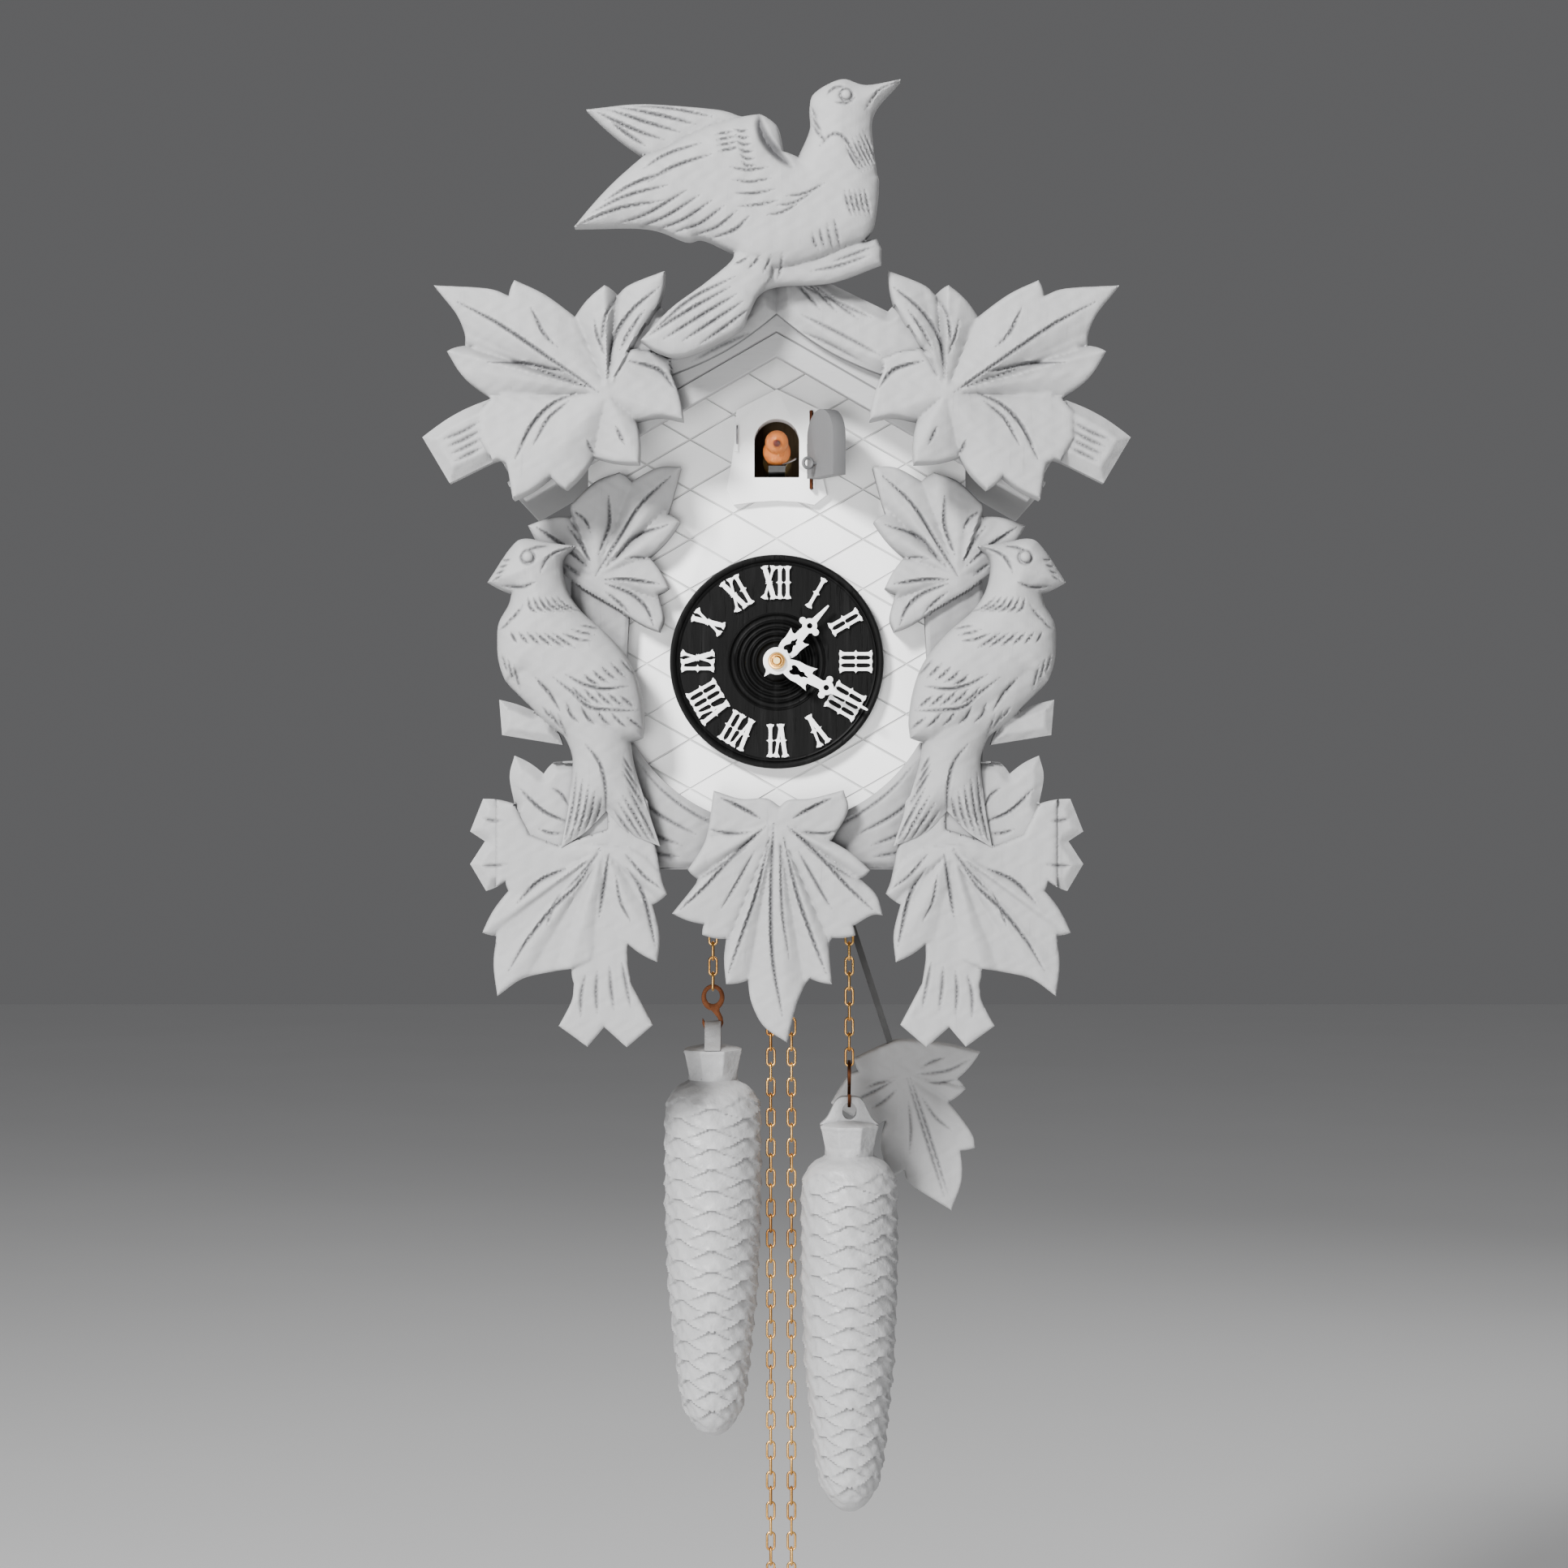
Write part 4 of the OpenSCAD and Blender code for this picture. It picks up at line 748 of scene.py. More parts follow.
def roof_boards():
    """Grey paint with a line scored along the fascia, parallel to the roof, painted dark as painted shade in its
    groove.
    """
    finish = Finish("grey_boards", Specular_IOR_Level=0.3)
    place = finish.node("ShaderNodeSeparateXYZ", None, {0: finish.place})
    across = Num(finish, place.outputs[0]).math("ABSOLUTE", Num(finish, place.outputs[0]))
    up = Num(finish, place.outputs[2]) + 0.577 * across
    low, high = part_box("fascia")
    middle = high.z - 0.0105
    line = 1 - finish.steps((up - middle).math("ABSOLUTE", up - middle), 0.0, 0.0005)
    cloud = finish.noise(22, 4)
    fibre = finish.noise(60, 5, (1.2, 7, 7))
    shade = finish.mix(cloud, (0.30, 0.30, 0.302), (0.35, 0.35, 0.353))
    shade = finish.mix(finish.steps(fibre, 0.58, 0.75) * 0.3, shade, (0.2, 0.2, 0.203))
    # Painted shade in the scored line's groove.
    shade = finish.mix(line * 0.75, shade, (0.13, 0.13, 0.133))
    return finish.use(shade, 0.55 + 0.15 * cloud, fibre * 0.5 + 0.3 * cloud - line * 2, 0.0003)


def scored_white():
    """White paint over a board scored with two sets of slanting lines, which cross as shingles do; the lines are
    painted grey as painted shade in their grooves.
    """
    finish = Finish("white_paint", Specular_IOR_Level=0.35)
    place = finish.node("ShaderNodeSeparateXYZ", None, {0: finish.place})
    x, z = Num(finish, place.outputs[0]), Num(finish, place.outputs[2]) - axis_z
    wander = finish.noise(18, 2) * 0.0016
    score = None
    for side in (-1, 1):
        rise = (z + side * 0.577 * x + wander) / 0.018
        off = rise.math("FRACT", rise) - 0.5
        off = off.math("ABSOLUTE", off) * 0.018 * 0.866
        faint = 0.55 + 0.45 * finish.steps(finish.noise(35, 2), 0.35, 0.6)
        line = (1 - finish.steps(off, 0.0001, 0.00042)) * faint
        score = line if score is None else score.math("MAXIMUM", score, line)
    cloud = finish.noise(30, 4)
    fibre = finish.noise(50, 4, (6, 6, 0.7))
    shade = finish.mix(cloud, (0.80, 0.80, 0.80), (0.86, 0.86, 0.855))
    # Painted shade in the scored lines' grooves.
    shade = finish.mix((score * 0.7).clamped(), shade, (0.36, 0.36, 0.36))
    return finish.use(shade, 0.45 + 0.15 * cloud, fibre * 0.25 + 0.2 * cloud - score * 1.6, 0.0003)


def plain_white():
    """The same paint, unscored."""
    finish = Finish("white_plain", Specular_IOR_Level=0.35)
    cloud = finish.noise(40, 4)
    fibre = finish.noise(60, 4, (6, 6, 0.7))
    shade = finish.mix(cloud, (0.82, 0.82, 0.82), (0.875, 0.875, 0.87))
    return finish.use(shade, 0.42 + 0.15 * cloud, fibre * 0.3 + 0.2 * cloud, 0.0002)


boards = roof_boards()
for node in ("case_left_wall", "case_right_wall", "roof_left", "roof_right", "fascia"):
    board_like(node, node + "_board", boards, 0.0007)
board_like("front_panel", "front_panel_board", scored_white())
board_like("door_plaque", "door_plaque_board", plain_white(), 0.0008)
# The door is the carving's grey paint made much darker, as painted shade for its angled face.
shaded_door_grey = paint("shaded_door_grey", (0.115, 0.115, 0.117), (0.06, 0.06, 0.062))
board_like("cuckoo_door", "cuckoo_door_leaf", shaded_door_grey, 0.0006, body="cuckoo_door")


# ---- Flat shapes cut from sheet: numerals, hands and hooks ----
def turned(points, angle, centre=(0, 0)):
    """Points with their own axis along +u, laid at an angle clockwise from twelve o'clock."""
    a = np.radians(angle)
    u, v = np.array(points, float).T
    return np.stack([centre[0] + u * np.sin(a) + v * np.cos(a), centre[1] + u * np.cos(a) - v * np.sin(a)],
                    1)


def ring(centre, radius, count=40):
    t = np.linspace(0, 2 * np.pi, count, endpoint=False)
    return np.stack([centre[0] + radius * np.cos(t), centre[1] + radius * np.sin(t)], 1)


def cut_sheet(name, shapes, holes, front, back, finish, edge=0.12, plane="XZ", middle=(0, 0, 0)):
    """One flat solid: the union of shapes less the holes, in millimetres, with its edges rounded.
    It lies in the XZ plane between y = front and y = back, or stands in the YZ plane about middle."""
    paths = [np.array(p, float) for p in [*shapes, *holes]]
    edges, start = [], 0
    for path in paths:
        edges += [(start + i, start + (i + 1) % len(path)) for i in range(len(path))]
        start += len(path)
    flat, _, faces, *_ = geometry.delaunay_2d_cdt([Vector(p) for path in paths for p in path], edges, [], 0,
                                                  1e-3)
    at = np.array([tuple(v) for v in flat])
    centres = np.array([at[list(f)].mean(0) for f in faces])
    keep = np.any([inside(centres, p) for p in paths[:len(shapes)]], 0)
    if holes:
        keep &= ~np.any([inside(centres, p) for p in paths[len(shapes):]], 0)
    sheet = bmesh.new()
    verts = [sheet.verts.new((x * MM, front, z * MM)) for x, z in at]
    for face in np.array(faces, dtype=object)[keep]:
        sheet.faces.new([verts[i] for i in face])
    bmesh.ops.delete(sheet, geom=[v for v in sheet.verts if not v.link_faces], context="VERTS")
    bmesh.ops.dissolve_limit(sheet, angle_limit=0.01, verts=sheet.verts, edges=[])
    solid = bmesh.ops.extrude_face_region(sheet, geom=sheet.faces[:])
    moved = [g for g in solid["geom"] if isinstance(g, bmesh.types.BMVert)]
    bmesh.ops.translate(sheet, verts=moved, vec=(0, back - front, 0))
    bmesh.ops.recalc_face_normals(sheet, faces=sheet.faces)
    rims = [e for e in sheet.edges if len(e.link_faces) == 2 and e.calc_face_angle(0) > 0.9
            and abs(e.verts[0].co.y - e.verts[1].co.y) < 1e-7]
    bmesh.ops.bevel(sheet, geom=rims, offset=edge * MM, segments=2, affect="EDGES", clamp_overlap=True,
                    profile=0.5)
    if plane == "YZ":
        bmesh.ops.rotate(sheet, verts=sheet.verts, cent=(0, (front + back) / 2, 0),
                         matrix=Matrix.Rotation(np.pi / 2, 3, "Z"))
    bmesh.ops.translate(sheet, verts=sheet.verts, vec=middle)
    mesh = bpy.data.meshes.new(name)
    sheet.to_mesh(mesh)
    sheet.free()
    mesh.polygons.foreach_set("use_smooth", [True] * len(mesh.polygons))
    mesh.set_sharp_from_angle(angle=0.7)
    mesh.materials.append(finish)
    piece = bpy.data.objects.new(name, mesh)
    bpy.context.scene.collection.objects.link(piece)
    return piece


# ---- Dial: a turned disc of black stained wood, with a beaded rim and rings turned round its middle ----
def stained():
    finish = Finish("black_wood", Specular_IOR_Level=0.06)
    grain = finish.noise(55, 6, (5, 5, 0.35), 0.65)
    pore = finish.noise(240, 3, (4, 4, 0.25))
    cloud = finish.noise(30, 3)
    shade = finish.mix(cloud, (0.0015, 0.0015, 0.0015), (0.004, 0.004, 0.004))
    shade = finish.mix(finish.steps(grain, 0.5, 0.75) * 0.5, shade, (0.014, 0.014, 0.014))
    return finish.use(shade, 0.34 + 0.25 * grain, grain * 0.6 + finish.steps(pore, 0.6, 0.75) * -0.5,
                      0.00025)


def lathe(name, profile, segments, finish):
    """A turned solid about the dial's axis. The profile is (radius, how far forward of the back), in millimetres."""
    verts, faces = [], []
    for radius, forward in profile:
        for i in range(segments):
            t = 2 * np.pi * i / segments
            verts.append((radius * MM * np.cos(t), -forward * MM, radius * MM * np.sin(t)))
    for j in range(len(profile) - 1):
        for i in range(segments):
            k = (i + 1) % segments
            faces.append((j * segments + i, j * segments + k, (j + 1) * segments + k,
                          (j + 1) * segments + i))
    faces.append(tuple(range(segments))[::-1])
    faces.append(tuple((len(profile) - 1) * segments + i for i in range(segments)))
    mesh = bpy.data.meshes.new(name)
    mesh.from_pydata(verts, [], faces)
    mesh.materials.append(finish)
    fix = bmesh.new()
    fix.from_mesh(mesh)
    bmesh.ops.recalc_face_normals(fix, faces=fix.faces)
    fix.to_mesh(mesh)
    fix.free()
    mesh.polygons.foreach_set("use_smooth", [True] * len(mesh.polygons))
    mesh.set_sharp_from_angle(angle=0.6)
    piece = bpy.data.objects.new(name, mesh)
    bpy.context.scene.collection.objects.link(piece)
    return piece


def settle(piece, x, y, z):
    """Moves a new piece's mesh to its place."""
    piece.data.transform(Matrix.Translation((x, y, z)))
    return piece


low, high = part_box("dial")
dial_r = (high.x - low.x) * 500
deep = (high.y - low.y) * 1000
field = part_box("numerals")[1].y
field = (high.y - field) * 1000
profile = [(dial_r - 0.6, 0), (dial_r, 0.6), (dial_r, deep - 0.7), (dial_r - 0.25, deep - 0.15),
           (dial_r - 0.8, deep),
           (dial_r - 1.5, deep - 0.1), (dial_r - 2.0, deep - 0.35), (dial_r - 2.35, deep - 0.8),
           (dial_r - 2.7, deep - 0.35), (dial_r - 3.1, deep - 0.45), (dial_r - 3.5, field + 0.02),
           (17.9, field)]
for r in np.arange(17.6, 2.0, -0.2):
    beads = max(np.exp(-((r - at) / 0.55) ** 2) for at in (17.2, 14.4, 12.1, 9.8, 7.5))
    profile.append((r, field - 0.55 + 0.9 * beads))
profile.append((1.6, field - 0.55))
dial = lathe("dial_disc", profile, 160, stained())
settle(dial, 0, high.y, axis_z)
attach(dial, "case")
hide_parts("dial")


def moulded(name):
    """White moulded plastic, with a soft gloss."""
    finish = Finish(name, Specular_IOR_Level=0.45)
    cloud = finish.noise(90, 3)
    speck = finish.noise(1400, 2)
    shade = finish.mix(cloud, (0.80, 0.80, 0.80), (0.86, 0.86, 0.855))
    return finish.use(shade, 0.3 + 0.15 * cloud, speck * 0.4 + cloud * 0.6, 0.00006)


# ---- Numerals: Gothic bars with pointed ends and middles, moulded in one piece for each hour ----
plastic = moulded("numeral_plastic")
low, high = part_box("numerals")
inner, outer = 22.4, 34.3
length = outer - inner


def bar(foot, head, wide=0.58):
    """A bar from its foot to its head, each (across, 0 at the inner end to 1 at the outer)."""
    a = np.array([foot[1] * length, foot[0]])
    b = np.array([head[1] * length, head[0]])
    along = (b - a) / np.hypot(*(b - a))
    side = np.array([-along[1], along[0]])
    size = np.hypot(*(b - a))
    half = [(0, 0.4), (0.25, 0.9), (0.15, 1.35), (0.7, 1.2), (1.15, 0.75), (2.0, wide),
            (size / 2 - 0.8, wide),
            (size / 2 - 0.3, 0.8), (size / 2, 1.38)]
    half = half + [(size - u, w) for u, w in half[::-1][1:]]
    up = [a + along * u + side * w for u, w in half]
    down = [a + along * u - side * w for u, w in half[::-1]]
    return np.array(up + down) + (inner, 0)


def numeral(letters):
    """The bars of a Roman numeral, read from the left, its top away from the dial's middle."""
    widths = {"I": 2.75, "V": 4.6, "X": 5.0}
    at = -sum(widths[c] for c in letters) / 2
    bars = []
    for c in letters:
        wide = widths[c]
        middle = at + wide / 2
        if c == "I":
            bars.append(bar((middle, 0), (middle, 1)))
        elif c == "V":
            bars += [bar((middle, 0), (middle - 1.75, 1), 0.75), bar((middle, 0), (middle + 1.75, 1), 0.45)]
        else:
            bars += [bar((middle + 1.75, 0), (middle - 1.75, 1), 0.85),
                     bar((middle - 1.75, 0), (middle + 1.75, 1), 0.42)]
        at += wide
    return bars


shapes = []
for hour, letters in enumerate(("I", "II", "III", "IIII", "V", "VI", "VII", "VIII", "IX", "X", "XI", "XII"),
                               1):
    shapes += [turned(path, 30 * hour) for path in numeral(letters)]
numbers = cut_sheet("numeral_set", shapes, [], low.y, high.y, plastic, 0.14)
settle(numbers, 0, 0, axis_z)
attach(numbers, "case")
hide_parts("numerals")

# ---- Hands: cut with a heart, two thorns, a ring between two beads, and a long point ----
def hand(name, node, angle, tip, scale, body, tail):
    low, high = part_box(node)
    half = [(3.6, 2.6), (5.6, 3.3), (7.6, 3.7), (9.8, 3.6), (12, 3.9), (14.2, 4.4), (13.2, 2.9),
            (13.3, 1.9),
            (15.6, 1.75), (18.2, 1.6)]
    half = [(u * scale, v) for u, v in half]
    at = 20.1 * scale
    blade = half + [(at + 2.2, 1.1), (at + 5.2, 0.8), (tip - 1.0, 0.42), (tip - 0.3, 0.36), (tip, 0.12)]
    leaf = blade + [(u, -v) for u, v in blade[::-1]]
    heart = [(6.2, 0.15), (5.6, 0.7), (5.7, 1.35), (6.5, 1.75), (7.6, 1.6), (8.7, 0.95), (9.4, 0.7),
             (10.0, 1.05),
             (10.7, 1.0), (11.2, 0.5), (12.6, 0.2)]
    heart = [(u * scale, v) for u, v in heart]
    heart = heart + [(u, -v) for u, v in heart[::-1]]
    shapes = [turned(leaf, angle), ring((0, 0), 4.85), turned(ring((at, 0), 2.65), angle),
              turned(ring((at - 0.3, 3.1), 1.22, 24), angle),
              turned(ring((at - 0.3, -3.1), 1.22, 24), angle)]
    if tail:
        shapes.append(turned([(3.5, -2.4), (5.2, -0.7), (7.2, 0), (5.2, 0.7), (3.5, 2.4)], angle + 176))
    holes = [turned(heart, angle), turned(ring((at, 0), 1.02, 24), angle), ring((0, 0), 1.9)]
    made = cut_sheet(name, shapes, holes, low.y, high.y, plastic, 0.16)
    settle(made, 0, 0, axis_z)
    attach(made, body)
    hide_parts(node)


hand("hour_hand_cut", "hour_hand", 43, 27.2, 0.86, "hour_train", True)
hand("minute_hand_cut", "minute_hand", 118.4, 36.9, 1, "minute_train", False)


# ---- Metals ----
def metal(name, colour, dark, rough=0.28, stretch=(1, 1, 1), scale=200):
    """Polished or drawn metal: fine scratches, handling marks, and darker where it has dulled."""
    finish = Finish(name)
    finish.shader.inputs["Metallic"].default_value = 1.0
    cloud = finish.noise(70, 4)
    scratch = finish.noise(scale, 4, stretch)
    shade = finish.mix(finish.steps(cloud, 0.35, 0.75), colour, dark)
    return finish.use(shade, rough + 0.22 * cloud + 0.1 * scratch, scratch * 0.6 + cloud * 0.4, 0.00005)


brass = metal("brass", (0.66, 0.38, 0.11), (0.32, 0.13, 0.03), 0.14)
brass_sheet = metal("brass_plate", (0.80, 0.60, 0.28), (0.58, 0.40, 0.17), 0.3, (30, 1, 1), 60)
steel = metal("dark_steel", (0.32, 0.32, 0.33), (0.17, 0.17, 0.18), 0.3)
copper = metal("copper_wire", (0.085, 0.032, 0.015), (0.045, 0.016, 0.008), 0.36)

# ---- Hand nut: a turned brass nut, dished round the end of its arbor ----
low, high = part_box("hand_nut")
wide = (high.x - low.x) * 500
tall = (high.y - low.y) * 1000
nut = lathe("hand_nut_turned", [(1.25, 0), (wide, 0), (wide, tall * 0.55), (wide - 0.3, tall * 0.78),
                                (wide - 0.75, tall * 0.8),
                                (wide - 0.95, tall * 0.62), (wide - 1.25, tall * 0.62),
                                (wide - 1.45, tall * 0.95),
                                (1.45, tall), (1.25, tall * 0.9)], 64, brass)
settle(nut, 0, high.y, axis_z)
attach(nut, "minute_train")
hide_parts("hand_nut")


# ---- Chains: one link of brass wire, repeated down each run, every other link turned across ----
def chain_tree():
    """Geometry Nodes: a rounded wire link, instanced down a line, turned a quarter turn at every second link."""
    tree = bpy.data.node_groups.new("chain_run", "GeometryNodeTree")
    face = tree.interface
    face.new_socket("Geometry", in_out="OUTPUT", socket_type="NodeSocketGeometry")
    sockets = {}
    for name, kind in (("Links", "NodeSocketInt"), ("Pitch", "NodeSocketFloat"),
                       ("Link length", "NodeSocketFloat"),
                       ("Link width", "NodeSocketFloat"), ("Wire", "NodeSocketFloat"),
                       ("Start", "NodeSocketVector"),
                       ("Material", "NodeSocketMaterial")):
        sockets[name] = face.new_socket(name, in_out="INPUT", socket_type=kind).identifier
    given = tree.nodes.new("NodeGroupInput").outputs

    def add(kind, settings=None, values=None):
        node = tree.nodes.new(kind)
        for key, value in (settings or {}).items():
            setattr(node, key, value)
        for key, value in (values or {}).items():
            if isinstance(value, bpy.types.NodeSocket):
                tree.links.new(value, node.inputs[key])
            else:
                node.inputs[key].default_value = value
        return node

    def maths(operation, a, b):
        return add("ShaderNodeMath", {"operation": operation}, {0: a, 1: b}).outputs[0]

    tall = maths("SUBTRACT", given["Link length"], given["Wire"])
    wide = maths("SUBTRACT", given["Link width"], given["Wire"])
    oblong = add("GeometryNodeCurvePrimitiveQuadrilateral", None, {"Width": wide, "Height": tall})
    round_end = add("GeometryNodeFilletCurve", None, {"Curve": oblong.outputs[0],
                                                      "Radius": maths("MULTIPLY", wide, 0.499)})
    round_end.mode = "POLY"
    round_end.inputs["Count"].default_value = 6
    section = add("GeometryNodeCurvePrimitiveCircle", None,
                  {"Resolution": 8, "Radius": maths("MULTIPLY", given["Wire"], 0.5)})
    link = add("GeometryNodeCurveToMesh", None, {"Curve": round_end.outputs[0],
                                                 "Profile Curve": section.outputs[0]})
    step = add("ShaderNodeCombineXYZ", None, {2: maths("MULTIPLY", given["Pitch"], -1.0)})
    line = add("GeometryNodeMeshLine", None, {"Count": given["Links"], "Start Location": given["Start"],
                                               "Offset": step.outputs[0]})
    index = add("GeometryNodeInputIndex").outputs[0]
    quarter = maths("MULTIPLY", maths("MODULO", index, 2.0), np.pi / 2)
    askew = add("FunctionNodeRandomValue", {"data_type": "FLOAT"}, {2: -0.1, 3: 0.1, 8: 4})
    turn = add("ShaderNodeCombineXYZ", None, {0: np.pi / 2, 2: maths("ADD", quarter, askew.outputs[1])})
    spread = add("GeometryNodeInstanceOnPoints", None, {"Points": line.outputs[0],
                                                        "Instance": link.outputs[0],
                                                        "Rotation": turn.outputs[0]})
    real = add("GeometryNodeRealizeInstances", None, {0: spread.outputs[0]})
    smooth = add("GeometryNodeSetShadeSmooth", None, {0: real.outputs[0]})
    done = add("GeometryNodeSetMaterial", None, {0: smooth.outputs[0], "Material": given["Material"]})
    leave = tree.nodes.new("NodeGroupOutput")
    tree.links.new(done.outputs[0], leave.inputs[0])
    return tree, sockets


links, link_sockets = chain_tree()
link_pitch, link_length, link_width, link_wire = 0.00564, 0.0075, 0.00369, 0.0009


def chain(name, node, body, x, y, top, count, with_ring):
    holder = bpy.data.objects.new(name, bpy.data.meshes.new(name))
    bpy.context.scene.collection.objects.link(holder)
    maker = holder.modifiers.new("links", "NODES")
    maker.node_group = links
    for key, value in (("Links", count), ("Pitch", link_pitch), ("Link length", link_length),
                       ("Link width", link_width),
                       ("Wire", link_wire), ("Start", (x, y, top - link_length / 2)), ("Material", brass)):
        maker[link_sockets[key]] = value
    made = bpy.data.meshes.new_from_object(holder.evaluated_get(bpy.context.evaluated_depsgraph_get()))
    holder.modifiers.remove(maker)
    holder.data = made
    if with_ring:
        whole = bmesh.new()
        whole.from_mesh(made)
        low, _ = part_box(node)
        centre = Vector((x, y, low.z + 0.0078))
        rings, sides = 48, 10
        brass_index = made.polygons[0].material_index
        verts = [whole.verts.new(centre + Vector((0.0008 * np.sin(b),
                                                  (0.007 + 0.0008 * np.cos(b)) * np.cos(a),
                                                  (0.007 + 0.0008 * np.cos(b)) * np.sin(a))))
                 for a in np.linspace(0, 2 * np.pi, rings, endpoint=False)
                 for b in np.linspace(0, 2 * np.pi, sides, endpoint=False)]
        for i in range(rings):
            for j in range(sides):
                corner = [verts[(i + a) % rings * sides + (j + b) % sides] for a,
                          b in ((0, 0), (0, 1), (1, 1), (1, 0))]
                face = whole.faces.new(corner)
                face.smooth = True
                face.material_index = brass_index
        bmesh.ops.recalc_face_normals(whole, faces=whole.faces)
        whole.to_mesh(made)
        whole.free()
    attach(holder, body)
    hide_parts(node)


for side in ("left", "right"):
    for kind, body in (("load", "weight_"), ("free", "free_chain_")):
        node = f"{kind}_chain_{side}"
        low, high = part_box(node)
        bottom = low.z if kind == "load" else low.z + 0.0148 - 0.0004
        count = int(round((high.z - bottom - link_length) / link_pitch)) + 1
        chain(f"{kind}_chain_{side}_links", node, body + side, (low.x + high.x) / 2, (low.y + high.y) / 2,
              high.z, count,
              kind == "free")

# ---- Hooks: flat copper-coloured S hooks, a ring above and an open crook below ----
for side in ("left", "right"):
    node = "hook_" + side
    low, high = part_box(node)
    middle = ((low.x + high.x) / 2, (low.y + high.y) / 2, high.z - 0.004)
    flat_on = high.x - low.x > high.y - low.y
    thick = min(high.x - low.x, high.y - low.y)
    eye = [(4.3 * np.sin(t), 4.9 * np.cos(t) - 0.8) for t in np.linspace(0, 2 * np.pi, 40, endpoint=False)]
    neck = [(-3.2, -2.2), (-0.6, -5.6), (1.6, -8.2), (2.3, -9.6), (2.2, -11.2), (1.0, -12.3), (-0.6, -12.3),
            (-2.3, -11.3),
            (-3.0, -9.8), (-3.9, -8.4), (-4.0, -10.4), (-3.3, -12.2), (-1.4, -13.5), (0.9, -13.6),
            (3.0, -12.4),
            (3.9, -10.4), (3.6, -8.2), (2.4, -5.8), (2.6, -3.4), (3.6, -1.6)]
    hole = [(2.6 * np.sin(t),
             2.9 * np.cos(t) - 0.35) for t in np.linspace(0, 2 * np.pi, 32, endpoint=False)]
    hook = cut_sheet(node + "_stamped", [eye, neck], [hole], -thick / 2, thick / 2, copper,
                     0.18,
                     "XZ" if flat_on else "YZ", middle)
    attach(hook, "weight_" + side)
    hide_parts(node)


# ---- Weights: iron cast as pine cones, a faceted cap with an ear above rows of overlapping scales ----
def cast_iron():
    finish = Finish("grey_cast", Specular_IOR_Level=0.5)
    cloud = finish.noise(45, 5)
    lump = finish.noise(260, 3)
    hollow = finish.attribute("groove")
    shade = finish.mix(cloud, (0.29, 0.29, 0.293), (0.37, 0.37, 0.373))
    # Painted shade under the scales' edges and wherever the casting shuts a spot in, by ambient occlusion.
    shade = finish.mix((hollow * 0.5 + finish.hidden(0.01) * 0.8).clamped(), shade, (0.12, 0.12, 0.123))
    shade = finish.mix(finish.steps(finish.noise(520, 2), 0.72, 0.78) * 0.6, shade, (0.12, 0.12, 0.12))
    return finish.use(shade, 0.34 + 0.2 * cloud + 0.15 * hollow, lump * 0.8 + cloud * 1.6, 0.0006)


iron = cast_iron()


